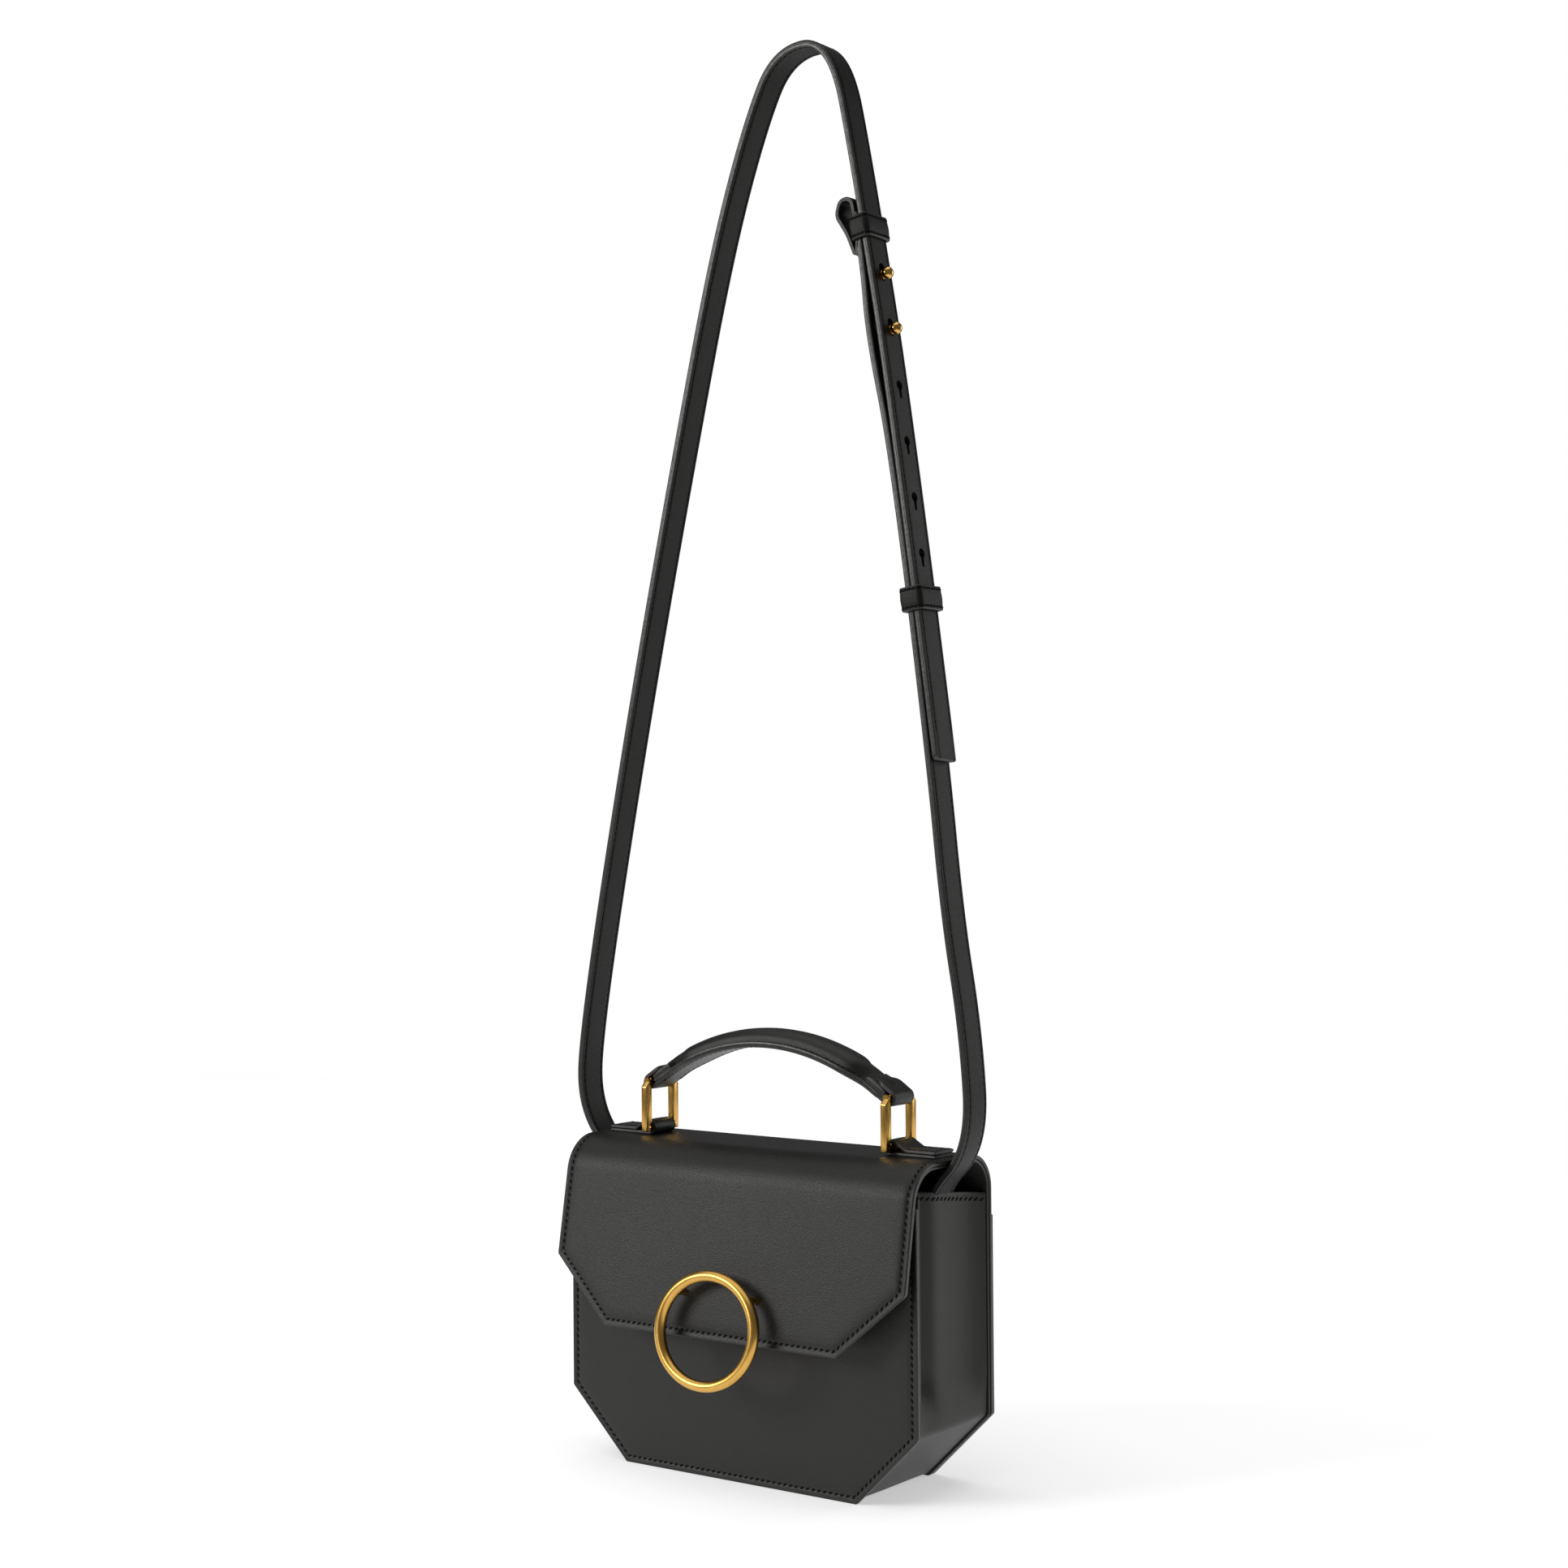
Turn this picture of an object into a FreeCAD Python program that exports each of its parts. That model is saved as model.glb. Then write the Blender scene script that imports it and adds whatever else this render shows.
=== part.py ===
import FreeCAD, Part
import math
import os

import Sketcher

os.makedirs("parts", exist_ok=True)

Vec = FreeCAD.Vector
doc = FreeCAD.newDocument("handbag")

# ---------------------------------------------------------------- driving sizes (mm)
SIZES = {
    "panel_width": 190.0,
    "panel_top": 128.0,
    "base_width": 126.8,
    "cut_height": 31.1,
    "body_depth": 60.0,
    "panel_ply": 1.8,
    "lining_ply": 1.2,
    "gusset_inset": 6.0,
    "gusset_ply": 1.6,
    "flange_inset": 1.0,
    "gusset_fold": 1.4,
    "inner_lining": 0.8,
    "pocket_top": 118.0,
    "pocket_ply": 1.6,
    "board_thickness": 2.0,
    "flap_overhang": 0.4,
    "flap_ply": 1.8,
    "flap_lining_ply": 1.4,
    "roof_rise": 18.0,
    "front_shoulder": 18.0,
    "back_shoulder": 16.0,
    "flap_lean": 0.18,
    "flap_side_drop": 35.0,
    "flap_drop": 63.5,
    "hinge_gap": 0.3,
    "ring_inset": 28.8,
    "ring_bar_radius": 1.8,
    "ring_height": 21.2,
    "ring_post_spread": 19.6,
    "ring_post_wide": 4.0,
    "ring_post_deep": 3.2,
    "running_fit": 0.05,
    "tab_ply": 1.5,
    "tab_inset": 5.4,
    "loop_ply": 1.7,
    "loop_width": 15.2,
    "handle_arch": 0.3453,
    "handle_width": 20.0,
    "handle_thickness": 8.2,
    "strap_width": 15.0,
    "strap_thickness": 3.0,
    "strap_gap": 0.3,
    "hole_pitch": 24.7,
    "ornament_width": 56.0,
    "ornament_height": 52.0,
    "ornament_wire": 5.0,
    "ornament_standoff": 5.0,
    "lock_radius": 7.5,
    "striker_thickness": 1.5,
    "lock_drop": 50.0,
    "ornament_drop": 59.3,
}

# the frame's origin is under the middle of the bag, from the ornament's front to the rear pocket
FRAME_SHIFT = "frame_shift"

sheet = doc.addObject("Spreadsheet::Sheet", "Sizes")
for row, (alias, value) in enumerate(SIZES.items(), start=1):
    sheet.set("A%d" % row, alias)
    sheet.set("B%d" % row, str(value))
    sheet.setAlias("B%d" % row, alias)
doc.recompute()


def size(alias):
    """The value of one named size, read back from the sheet."""
    return float(sheet.get(alias))


CLEAR = 0.3
lean = size("flap_lean")
lean_angle = math.atan(lean)
flap_thickness = size("flap_ply") + size("flap_lining_ply")
half_depth = size("body_depth") / 2
face_y = -half_depth - CLEAR - flap_thickness / math.cos(lean_angle)
flap_half = size("panel_width") / 2 + size("flap_overhang")
wire_r = size("ornament_wire") / 2
ring_b = size("ornament_height") / 2 - wire_r
standoff = size("ornament_standoff") + wire_r
ornament_front = (face_y - size("ornament_drop") * lean - standoff * math.cos(lean_angle)
                  - ring_b * math.sin(lean_angle) - wire_r)
pocket_back = half_depth + size("pocket_ply")
sheet.set("A%d" % (len(SIZES) + 1), FRAME_SHIFT)
sheet.set("B%d" % (len(SIZES) + 1), str(round(-(ornament_front + pocket_back) / 2, 3)))
sheet.setAlias("B%d" % (len(SIZES) + 1), FRAME_SHIFT)
doc.recompute()


# ---------------------------------------------------------------- helpers
NODES = []


def node(obj, name):
    """Give a finished piece its name and list it for export."""
    obj.Label = name
    NODES.append(obj)
    return obj


def solid(name, shape):
    """A piece whose shape is made by Part functions from the sheet's sizes."""
    obj = doc.addObject("Part::Feature", name)
    obj.Shape = shape
    obj.Placement = FreeCAD.Placement(Vec(0, size(FRAME_SHIFT), 0), FreeCAD.Rotation())
    return node(obj, name)


def bind(obj, **expressions):
    for prop, text in expressions.items():
        obj.setExpression(prop.replace("__", "."), text)


def cut_slope():
    """Angle of the cut lower corner above the horizontal."""
    return math.atan2(size("cut_height"), (size("panel_width") - size("base_width")) / 2)


def outline(inset, top):
    """Corners (x, z) of the eight-sided panel shape, pulled in by inset, open at the top."""
    slope = cut_slope()
    side = size("panel_width") / 2 - inset
    base = size("base_width") / 2 - inset * math.tan(slope / 2)
    cut_top = size("cut_height") + inset * math.tan((math.pi / 2 - slope) / 2)
    return [(-side, top), (-side, cut_top), (-base, inset), (base, inset), (side, cut_top), (side, top)]


def prism(points, y_start, depth):
    """A solid made by pushing an (x, z) outline along Y."""
    corners = [Vec(x, y_start, z) for x, z in points]
    face = Part.Face(Part.makePolygon(corners + corners[:1]))
    return face.extrude(Vec(0, depth, 0))


def unit(start, end):
    dx, dz = end[0] - start[0], end[1] - start[1]
    length = math.hypot(dx, dz)
    return dx / length, dz / length, length


def band(points, thickness, y_start, width, radii=None, name=""):
    """A flat strap of even thickness following straight runs joined by tangent arcs in XZ."""
    radii = radii or {}
    half = thickness / 2
    corners = []
    for i in range(1, len(points) - 1):
        ax, az, run_in = unit(points[i - 1], points[i])
        bx, bz, run_out = unit(points[i], points[i + 1])
        turn = math.atan2(ax * bz - az * bx, ax * bx + az * bz)
        tangent = 0.45 * min(run_in, run_out)
        if i in radii:
            tangent = radii[i] * math.tan(abs(turn) / 2)
        radius = tangent / math.tan(abs(turn) / 2)
        corners.append((points[i], (ax, az), (bx, bz), tangent, radius, math.copysign(1, turn)))
    if name:
        print(name, "bend radii (mm):", [round(corner[4], 1) for corner in corners])

    def side(offset):
        """Line and arc edges of one edge of the strap, from first point to last."""
        dx, dz, _ = unit(points[0], points[1])
        at = (points[0][0] - dz * offset, points[0][1] + dx * offset)
        edges = []
        first = at
        for (px, pz), (ax, az), (bx, bz), tangent, radius, way in corners:
            t_in = (px - ax * tangent, pz - az * tangent)
            t_out = (px + bx * tangent, pz + bz * tangent)
            centre = (t_in[0] - az * radius * way, t_in[1] + ax * radius * way)
            to_corner = unit(centre, (px, pz))
            reach = radius - offset * way
            start = (t_in[0] - az * offset, t_in[1] + ax * offset)
            middle = (centre[0] + to_corner[0] * reach, centre[1] + to_corner[1] * reach)
            end = (t_out[0] - bz * offset, t_out[1] + bx * offset)
            if math.hypot(start[0] - at[0], start[1] - at[1]) > 1e-4:
                edges.append(Part.LineSegment(vec(at), vec(start)).toShape())
            else:
                start = at
            edges.append(Part.Arc(vec(start), vec(middle), vec(end)).toShape())
            at = end
        dx, dz, _ = unit(points[-2], points[-1])
        last = (points[-1][0] - dz * offset, points[-1][1] + dx * offset)
        edges.append(Part.LineSegment(vec(at), vec(last)).toShape())
        return first, last, edges

    def vec(p):
        return Vec(p[0], y_start, p[1])

    left_first, left_last, left = side(half)
    right_first, right_last, right = side(-half)
    caps = [Part.LineSegment(vec(left_last), vec(right_last)).toShape(),
            Part.LineSegment(vec(left_first), vec(right_first)).toShape()]
    wire = Part.Wire(Part.__sortEdges__(left + right + caps))
    return Part.Face(wire).extrude(Vec(0, width, 0))


def cylinder(radius, height, base, direction):
    return Part.makeCylinder(radius, height, base, direction)


# ---------------------------------------------------------------- front and back panels
def panel_body(name, inset, top, ply, front_y):
    """One leather ply cut to the eight-sided shape; its front face stands at the expression front_y."""
    body = doc.addObject("PartDesign::Body", name)
    sketch = body.newObject("Sketcher::SketchObject", name + "_outline")
    plane = [f for f in body.Origin.OriginFeatures if f.Role == "XZ_Plane"][0]
    sketch.AttachmentSupport = (plane, [""])
    sketch.MapMode = "FlatFace"
    corners = [Vec(x, z, 0) for x, z in outline(inset, size(top))]
    count = len(corners)
    for i in range(count):
        sketch.addGeometry(Part.LineSegment(corners[i], corners[(i + 1) % count]), False)
    for i in range(count):
        sketch.addConstraint(Sketcher.Constraint("Coincident", i, 2, (i + 1) % count, 1))
    for left, right in ((0, 5), (1, 4), (2, 3)):
        sketch.addConstraint(Sketcher.Constraint("Symmetric", left, 1, right, 1, -2))
    slope = "atan(Sizes.cut_height / ((Sizes.panel_width - Sizes.base_width) / 2))"
    dimensions = [
        ("DistanceX", 0, 5, "Sizes.panel_width - 2 * %g" % inset),
        ("DistanceX", 1, 4, "Sizes.panel_width - 2 * %g" % inset),
        ("DistanceX", 2, 3, "Sizes.base_width - 2 * %g * tan(%s / 2)" % (inset, slope)),
        ("DistanceY", None, 0, "Sizes.%s" % top),
        ("DistanceY", None, 1, "Sizes.cut_height + %g * tan((90 deg - %s) / 2)" % (inset, slope)),
    ]
    for kind, start, end, text in dimensions:
        geo, pos = (start, 1) if start is not None else (-1, 1)
        first = corners[start] if start is not None else Vec(0, 0, 0)
        value = (corners[end].x - first.x) if kind == "DistanceX" else corners[end].y - first.y
        index = sketch.addConstraint(Sketcher.Constraint(kind, geo, pos, end, 1, value))
        sketch.setExpression("Constraints[%d]" % index, text)
    if inset > 0:
        index = sketch.addConstraint(Sketcher.Constraint("DistanceY", -1, 1, 2, 1, inset))
    else:
        sketch.addConstraint(Sketcher.Constraint("PointOnObject", 2, 1, -1))
    pad = body.newObject("PartDesign::Pad", name + "_ply")
    pad.Profile = sketch
    pad.setExpression("Length", "Sizes." + ply)
    body.setExpression("Placement.Base.y", "%s + Sizes.%s + Sizes.frame_shift" % (front_y, ply))
    doc.recompute()
    return body


STEM_RADIUS = 2.0
LOCK_Z = size("panel_top") - size("lock_drop")
panel_thickness = size("panel_ply") + size("lining_ply")
lining_face = half_depth - panel_thickness


def with_lock_hole(body):
    """Hole for the stem of the hidden lock, through one ply of the front wall."""
    hole = doc.addObject("Part::Cylinder", body.Name + "_hole_tool")
    hole.Radius = STEM_RADIUS
    hole.Height = 10.0
    hole.Placement = FreeCAD.Placement(Vec(0, 0, 0), FreeCAD.Rotation(Vec(1, 0, 0), 90))
    bind(hole, Placement__Base__z="Sizes.panel_top - Sizes.lock_drop",
         Placement__Base__y="-Sizes.body_depth / 2 + 5 + Sizes.frame_shift")
    pierced = doc.addObject("Part::Cut", body.Name + "_pierced")
    pierced.Base = body
    pierced.Tool = hole
    return pierced


LINING_INSET = 0.5
node(with_lock_hole(panel_body("front_outer", 0, "panel_top", "panel_ply", "-Sizes.body_depth / 2")),
     "front_panel")
node(with_lock_hole(panel_body("front_inner", LINING_INSET, "panel_top", "lining_ply",
                               "-Sizes.body_depth / 2 + Sizes.panel_ply")), "front_lining")
node(panel_body("back_outer", 0, "panel_top", "panel_ply", "Sizes.body_depth / 2 - Sizes.panel_ply"),
     "back_panel")
node(panel_body("back_inner", LINING_INSET, "panel_top", "lining_ply",
                "Sizes.body_depth / 2 - Sizes.panel_ply - Sizes.lining_ply"), "back_lining")
node(panel_body("pocket_outer", 0, "pocket_top", "pocket_ply", "Sizes.body_depth / 2"), "rear_pocket")

# ---------------------------------------------------------------- gusset, its lining and the base board
top = size("panel_top")
web_in = size("gusset_inset") + size("gusset_ply")
web = prism(outline(size("gusset_inset"), top), -lining_face, 2 * lining_face)
flange = outline(size("flange_inset"), top)
flange_front = prism(flange, -lining_face, size("gusset_ply"))
flange_back = prism(flange, lining_face - size("gusset_ply"), size("gusset_ply"))
hollow = prism(outline(web_in, top + 1), -lining_face - 1, 2 * lining_face + 2)
gusset_shape = web.fuse([flange_front, flange_back]).removeSplitter()


def is_fold_edge(edge):
    """Inside corner where the gusset wall turns out into its sewn flange."""
    box = edge.BoundBox
    fold_y = lining_face - size("gusset_ply")
    if box.YLength > 0.01 or abs(abs(box.Center.y) - fold_y) > 0.01:
        return False
    middle = edge.valueAt((edge.FirstParameter + edge.LastParameter) / 2)
    wall = outline(size("gusset_inset"), top)
    for (ax, az), (bx, bz) in zip(wall, wall[1:]):
        dx, dz, length = unit((ax, az), (bx, bz))
        off = abs((middle.x - ax) * dz - (middle.z - az) * dx)
        along = (middle.x - ax) * dx + (middle.z - az) * dz
        if off < 0.01 and 0 < along < length:
            return True
    return False


folds = [edge for edge in gusset_shape.Edges if is_fold_edge(edge)]
gusset_shape = gusset_shape.makeFillet(size("gusset_fold"), folds).cut(hollow)
solid("gusset", gusset_shape)

LINING_STEP_DOWN = 2.0
lining_top = top - LINING_STEP_DOWN
lining_in = web_in + size("inner_lining")
lining = prism(outline(web_in, lining_top), -lining_face, 2 * lining_face)
lining_hollow = prism(outline(lining_in, top + 1), -lining_face - 1, 2 * lining_face + 2)
solid("gusset_lining", lining.cut(lining_hollow))

BOARD_MARGIN = 2.0
board_half = outline(lining_in, top)[3][0] - BOARD_MARGIN
board = doc.addObject("Part::Box", "board_box")
bind(board, Height="Sizes.board_thickness")
board.Length = 2 * board_half
board.Width = 2 * (lining_face - 1.0)
board.Placement.Base = Vec(-board_half, size(FRAME_SHIFT) - lining_face + 1.0, lining_in)
node(board, "base_board")

# ---------------------------------------------------------------- flap: profile in YZ, trimmed to its front shape
roof_z = top + size("roof_rise")
hinge_z = top + size("hinge_gap") / 2


def flap_sheet(outside, inside):
    """Sheet bent over the roof, between two depths measured inward from the outer surface."""

    def surface(depth):
        """Edges of the flap section at one depth, from the back hinge to below the front lip."""
        back_y = half_depth - depth
        roof = roof_z - depth
        back_r = size("back_shoulder") - depth
        front_r = size("front_shoulder") - depth
        line_y = face_y + depth / math.cos(lean_angle)
        corner_y = line_y + (roof - top) * lean
        tangent = front_r * math.tan((math.pi / 2 - lean_angle) / 2)
        low_z = top - size("flap_drop") - 10.0
        p0 = Vec(0, back_y, top + size("hinge_gap"))
        p1 = Vec(0, back_y, roof - back_r)
        p2 = Vec(0, back_y - back_r, roof)
        middle_back = Vec(0, back_y - back_r * (1 - math.sqrt(0.5)), roof - back_r * (1 - math.sqrt(0.5)))
        p3 = Vec(0, corner_y + tangent, roof)
        p4 = Vec(0, corner_y - tangent * math.sin(lean_angle), roof - tangent * math.cos(lean_angle))
        centre = Vec(0, p3.y, roof - front_r)
        towards = (math.pi / 2 + math.pi - lean_angle) / 2
        middle_front = centre + Vec(0, front_r * math.cos(towards), front_r * math.sin(towards))
        p5 = Vec(0, line_y + (low_z - top) * lean, low_z)
        return p0, p5, [Part.LineSegment(p0, p1).toShape(), Part.Arc(p1, middle_back, p2).toShape(),
                        Part.LineSegment(p2, p3).toShape(), Part.Arc(p3, middle_front, p4).toShape(),
                        Part.LineSegment(p4, p5).toShape()]

    outer_start, outer_end, outer = surface(outside)
    inner_start, inner_end, inner = surface(inside)
    caps = [Part.LineSegment(outer_start, inner_start).toShape(),
            Part.LineSegment(outer_end, inner_end).toShape()]
    wire = Part.Wire(Part.__sortEdges__(outer + inner + caps))
    full = Part.Face(wire).extrude(Vec(2 * flap_half + 20, 0, 0))
    full.translate(Vec(-flap_half - 10, 0, 0))
    return full


def flap_trim(inset):
    """Front shape of the flap: straight sides, then cut corners down to the lip."""
    side = flap_half - inset
    lip = size("base_width") / 2 - inset * 0.4
    side_z = top - size("flap_side_drop") + inset * 0.4
    lip_z = top - size("flap_drop") + inset
    points = [(-side, roof_z + 5), (-side, side_z), (-lip, lip_z), (lip, lip_z), (side, side_z),
              (side, roof_z + 5)]
    return prism(points, -100, 200)


ply = size("flap_ply")
flap_outer = flap_sheet(0.0, ply).common(flap_trim(0.0))
flap_inner = flap_sheet(ply, flap_thickness).common(flap_trim(LINING_INSET))

# frame of the leaning front face: across, up and outward
face_up = Vec(0, math.sin(lean_angle), math.cos(lean_angle))
face_out = Vec(0, -math.cos(lean_angle), math.sin(lean_angle))


def face_point(x, z, out=0.0):
    """Point over the flap's outer front face at width x and height z, raised by out."""
    return Vec(x, face_y + (z - top) * lean, z) + face_out * out


# ---------------------------------------------------------------- ornament: plain oval ring on two posts
ORNAMENT_POST_ANGLE = math.radians(40)
POST_RADIUS = 1.6
SCREW_RADIUS = 1.2
ring_a = size("ornament_width") / 2 - wire_r
ornament_z = top - size("ornament_drop")
turn_up = FreeCAD.Rotation(Vec(1, 0, 0), face_up, face_out, "XYZ")
centre = face_point(0, ornament_z, standoff)
oval = Part.Ellipse(Vec(0, 0, 0), ring_a, ring_b).toShape()
section = Part.Circle(Vec(ring_a, 0, 0), Vec(0, 1, 0), wire_r).toShape()
ring = Part.Wire(oval).makePipeShell([Part.Wire(section)], True, True)
ring.Placement = FreeCAD.Placement(centre, turn_up)
post_spots = []
for way in (-1, 1):
    across = way * ring_a * math.cos(ORNAMENT_POST_ANGLE)
    up = ring_b * math.sin(ORNAMENT_POST_ANGLE)
    post_spots.append(centre + Vec(across, 0, 0) + face_up * up)
posts = [cylinder(POST_RADIUS, standoff, spot - face_out * standoff, face_out) for spot in post_spots]
solid("ornament", ring.fuse(posts).removeSplitter())

NUT_RADIUS = 3.5
NUT_THICKNESS = 1.6
screws = []
for spot in post_spots:
    foot = spot - face_out * (standoff + flap_thickness)
    shank = cylinder(SCREW_RADIUS, flap_thickness, foot, face_out)
    head = cylinder(NUT_RADIUS, NUT_THICKNESS, foot - face_out * NUT_THICKNESS, face_out)
    screws.append(shank.fuse(head))
    drill = cylinder(SCREW_RADIUS, flap_thickness + 2, foot - face_out, face_out)
    flap_outer = flap_outer.cut(drill)
    flap_inner = flap_inner.cut(drill)
solid("ornament_screws", Part.makeCompound(screws))
solid("flap", flap_outer.removeSplitter())
solid("flap_lining", flap_inner.removeSplitter())

# ---------------------------------------------------------------- hidden magnetic lock behind the lip
striker_face = face_point(0, LOCK_Z, -flap_thickness)
striker_base = striker_face - face_out * size("striker_thickness")
solid("striker", cylinder(size("lock_radius"), size("striker_thickness"), striker_base, face_out))

lock_r = size("lock_radius")
lock_face = striker_base - face_out * CLEAR
blank = cylinder(lock_r, 20, Vec(0, -half_depth, LOCK_Z), Vec(0, -1, 0))
slab = Part.makeBox(60, 40, 60, Vec(-30, -30, 0))
slab.Placement = FreeCAD.Placement(lock_face, turn_up).multiply(slab.Placement)
BACKPLATE = 1.2
stem = cylinder(STEM_RADIUS, panel_thickness + BACKPLATE, Vec(0, -half_depth, LOCK_Z), Vec(0, 1, 0))
MAGNET_RADIUS = 4.5
MAGNET_DEPTH = 2.5
magnet_shape = cylinder(MAGNET_RADIUS, MAGNET_DEPTH, lock_face - face_out * MAGNET_DEPTH, face_out)
housing = blank.cut(slab).fuse(stem).cut(magnet_shape)
solid("lock_housing", housing)
solid("lock_magnet", magnet_shape)
plate = cylinder(lock_r, BACKPLATE, Vec(0, -lining_face, LOCK_Z), Vec(0, 1, 0))
solid("lock_backplate", plate.cut(stem))

# ---------------------------------------------------------------- roof tabs, handle rings, handle
bar_r = size("ring_bar_radius")
loose_r = bar_r + size("running_fit")
ring_x = flap_half - size("ring_inset")
tab_ply = size("tab_ply")
tab_mid = loose_r + tab_ply / 2
low_bar_z = roof_z + tab_ply + loose_r
high_bar_z = low_bar_z + size("ring_height")
loop_width = size("loop_width")
PLY_GAP = 0.1
POST_CHAMFER = 0.9
TAB_CREST_RUN = 2.5
TAB_SLOPE_END = 8.5
TAB_BEND = 3.0


def handle_ring(name, side):
    """Rectangular metal ring: two round bars along Y between two square posts."""
    spread = size("ring_post_spread")
    wide = size("ring_post_wide")
    deep = size("ring_post_deep")
    low = low_bar_z - bar_r
    tall = size("ring_height") + 2 * bar_r
    pieces = []
    for way in (-1, 1):
        corner = Vec(side * ring_x - deep / 2, way * spread / 2 - wide / 2, low)
        post = Part.makeBox(deep, wide, tall, corner)
        level_edges = [edge for edge in post.Edges if edge.BoundBox.ZLength < 0.01]
        pieces.append(post.makeChamfer(POST_CHAMFER, level_edges))
    for z in (low_bar_z, high_bar_z):
        pieces.append(cylinder(bar_r, spread, Vec(side * ring_x, -spread / 2, z), Vec(0, 1, 0)))
    solid(name, pieces[0].fuse(pieces[1:]).removeSplitter())


def roof_tab(name, side):
    """Leather tab sewn on the roof, looped round the ring's lower bar."""
    low = roof_z + tab_ply / 2
    high = low + tab_ply + PLY_GAP
    crest = low_bar_z + tab_mid
    inner = ring_x - tab_mid
    reach = flap_half - size("tab_inset")
    points = [(reach, low), (inner, low), (inner, crest), (ring_x + TAB_CREST_RUN, crest),
              (ring_x + TAB_SLOPE_END, high), (reach, high)]
    points = [(side * x, z) for x, z in points]
    radii = {1: tab_mid, 2: tab_mid, 3: TAB_BEND, 4: TAB_BEND}
    solid(name, band(points, tab_ply, -loop_width / 2, loop_width, radii))


loop_ply = size("loop_ply")
loop_mid = loose_r + loop_ply / 2
end_slope = math.radians(34)
drop = size("handle_arch") * ring_x
crown_z = high_bar_z + drop
arch_r = (ring_x * math.tan(end_slope) - drop) / (math.sin(end_slope) * math.tan(end_slope)
                                                  - (1 - math.cos(end_slope)))
LOOP_LEG = 12.5


def handle_loop(name, side):
    """Flat loop of the handle: over the ring's upper bar and back under the handle end."""
    ux, uz = -side * math.cos(end_slope), math.sin(end_slope)
    nx, nz = side * math.sin(end_slope), math.cos(end_slope)

    def at(along, across):
        return (side * ring_x + ux * along + nx * across, high_bar_z + uz * along + nz * across)

    points = [at(LOOP_LEG, loop_mid), at(-loop_mid, loop_mid), at(-loop_mid, -loop_mid),
              at(LOOP_LEG, -loop_mid)]
    solid(name, band(points, loop_ply, -loop_width / 2, loop_width, {1: loop_mid, 2: loop_mid}))


def handle_section(angle, wide, thick, along=0.0):
    """Crowned cross-section of the handle at one angle from its crown, or beyond the end of the arch."""
    centre_x = arch_r * math.sin(angle)
    centre_z = crown_z - arch_r * (1 - math.cos(angle))
    radial = Vec(math.sin(angle), 0, math.cos(angle))
    ahead = Vec(math.cos(angle), 0, -math.sin(angle)) * math.copysign(along, angle)
    middle = Vec(centre_x, 0, centre_z) + ahead
    shoulder = -thick / 2 + 0.55 * thick
    spots = ((-wide / 2, shoulder), (-wide / 2, -thick / 2), (wide / 2, -thick / 2), (wide / 2, shoulder))
    corners = [middle + Vec(0, y, 0) + radial * r for y, r in spots]
    crest = middle + radial * (thick / 2)
    edges = [Part.LineSegment(corners[0], corners[1]).toShape(),
             Part.LineSegment(corners[1], corners[2]).toShape(),
             Part.LineSegment(corners[2], corners[3]).toShape(),
             Part.Arc(corners[3], crest, corners[0]).toShape()]
    return Part.Wire(edges)


FLAT_END = 2 * (loose_r - PLY_GAP)
TIP_GAP = 0.8
tip = (ring_x - arch_r * math.sin(end_slope)) / math.cos(end_slope) - bar_r - TIP_GAP
wide, thick = size("handle_width"), size("handle_thickness")
stations = [(34, loop_width, FLAT_END, tip), (34, loop_width, FLAT_END, 0.0),
            (31.5, loop_width, FLAT_END, 0.0), (25, 0.55 * loop_width + 0.45 * wide, 0.7 * thick, 0.0),
            (17, wide, 0.93 * thick, 0.0), (8, wide, thick, 0.0)]
angles = [(-a, w, t, s) for a, w, t, s in stations] + [(0.001, wide, thick, 0.0)] + \
         [(a, w, t, s) for a, w, t, s in reversed(stations)]
sections = [handle_section(math.radians(a), w, t, s) for a, w, t, s in angles]

for side, word in ((-1, "left"), (1, "right")):
    roof_tab("tab_" + word, side)
    handle_ring("ring_" + word, side)
    handle_loop("handle_loop_" + word, side)
ends = [Part.makeLoft(sections[:3], True, True), Part.makeLoft(sections[-3:], True, True)]
grip = Part.makeLoft(sections[2:-2], True, False)
solid("handle_grip", grip.fuse(ends).removeSplitter())

# ---------------------------------------------------------------- strap anchors inside the gusset
anchor_bar_r = size("strap_thickness") / 2 - size("running_fit")
anchor_ply = 1.3
anchor_loop = anchor_bar_r + size("running_fit") + anchor_ply / 2
inner_wall = size("panel_width") / 2 - lining_in
anchor_x = inner_wall - anchor_ply / 2 - anchor_loop
ANCHOR_DROP = 28.0
ANCHOR_TALL = 10.0
ANCHOR_SEAM = 14.0
ANCHOR_BEND = 2.0
ANCHOR_LOOP_LEG = 11.0
anchor_low = top - ANCHOR_DROP
anchor_high = anchor_low + ANCHOR_TALL
ANCHOR_POST = 2 * anchor_bar_r + 0.1
anchor_spread = loop_width + 0.4 + ANCHOR_POST


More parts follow.
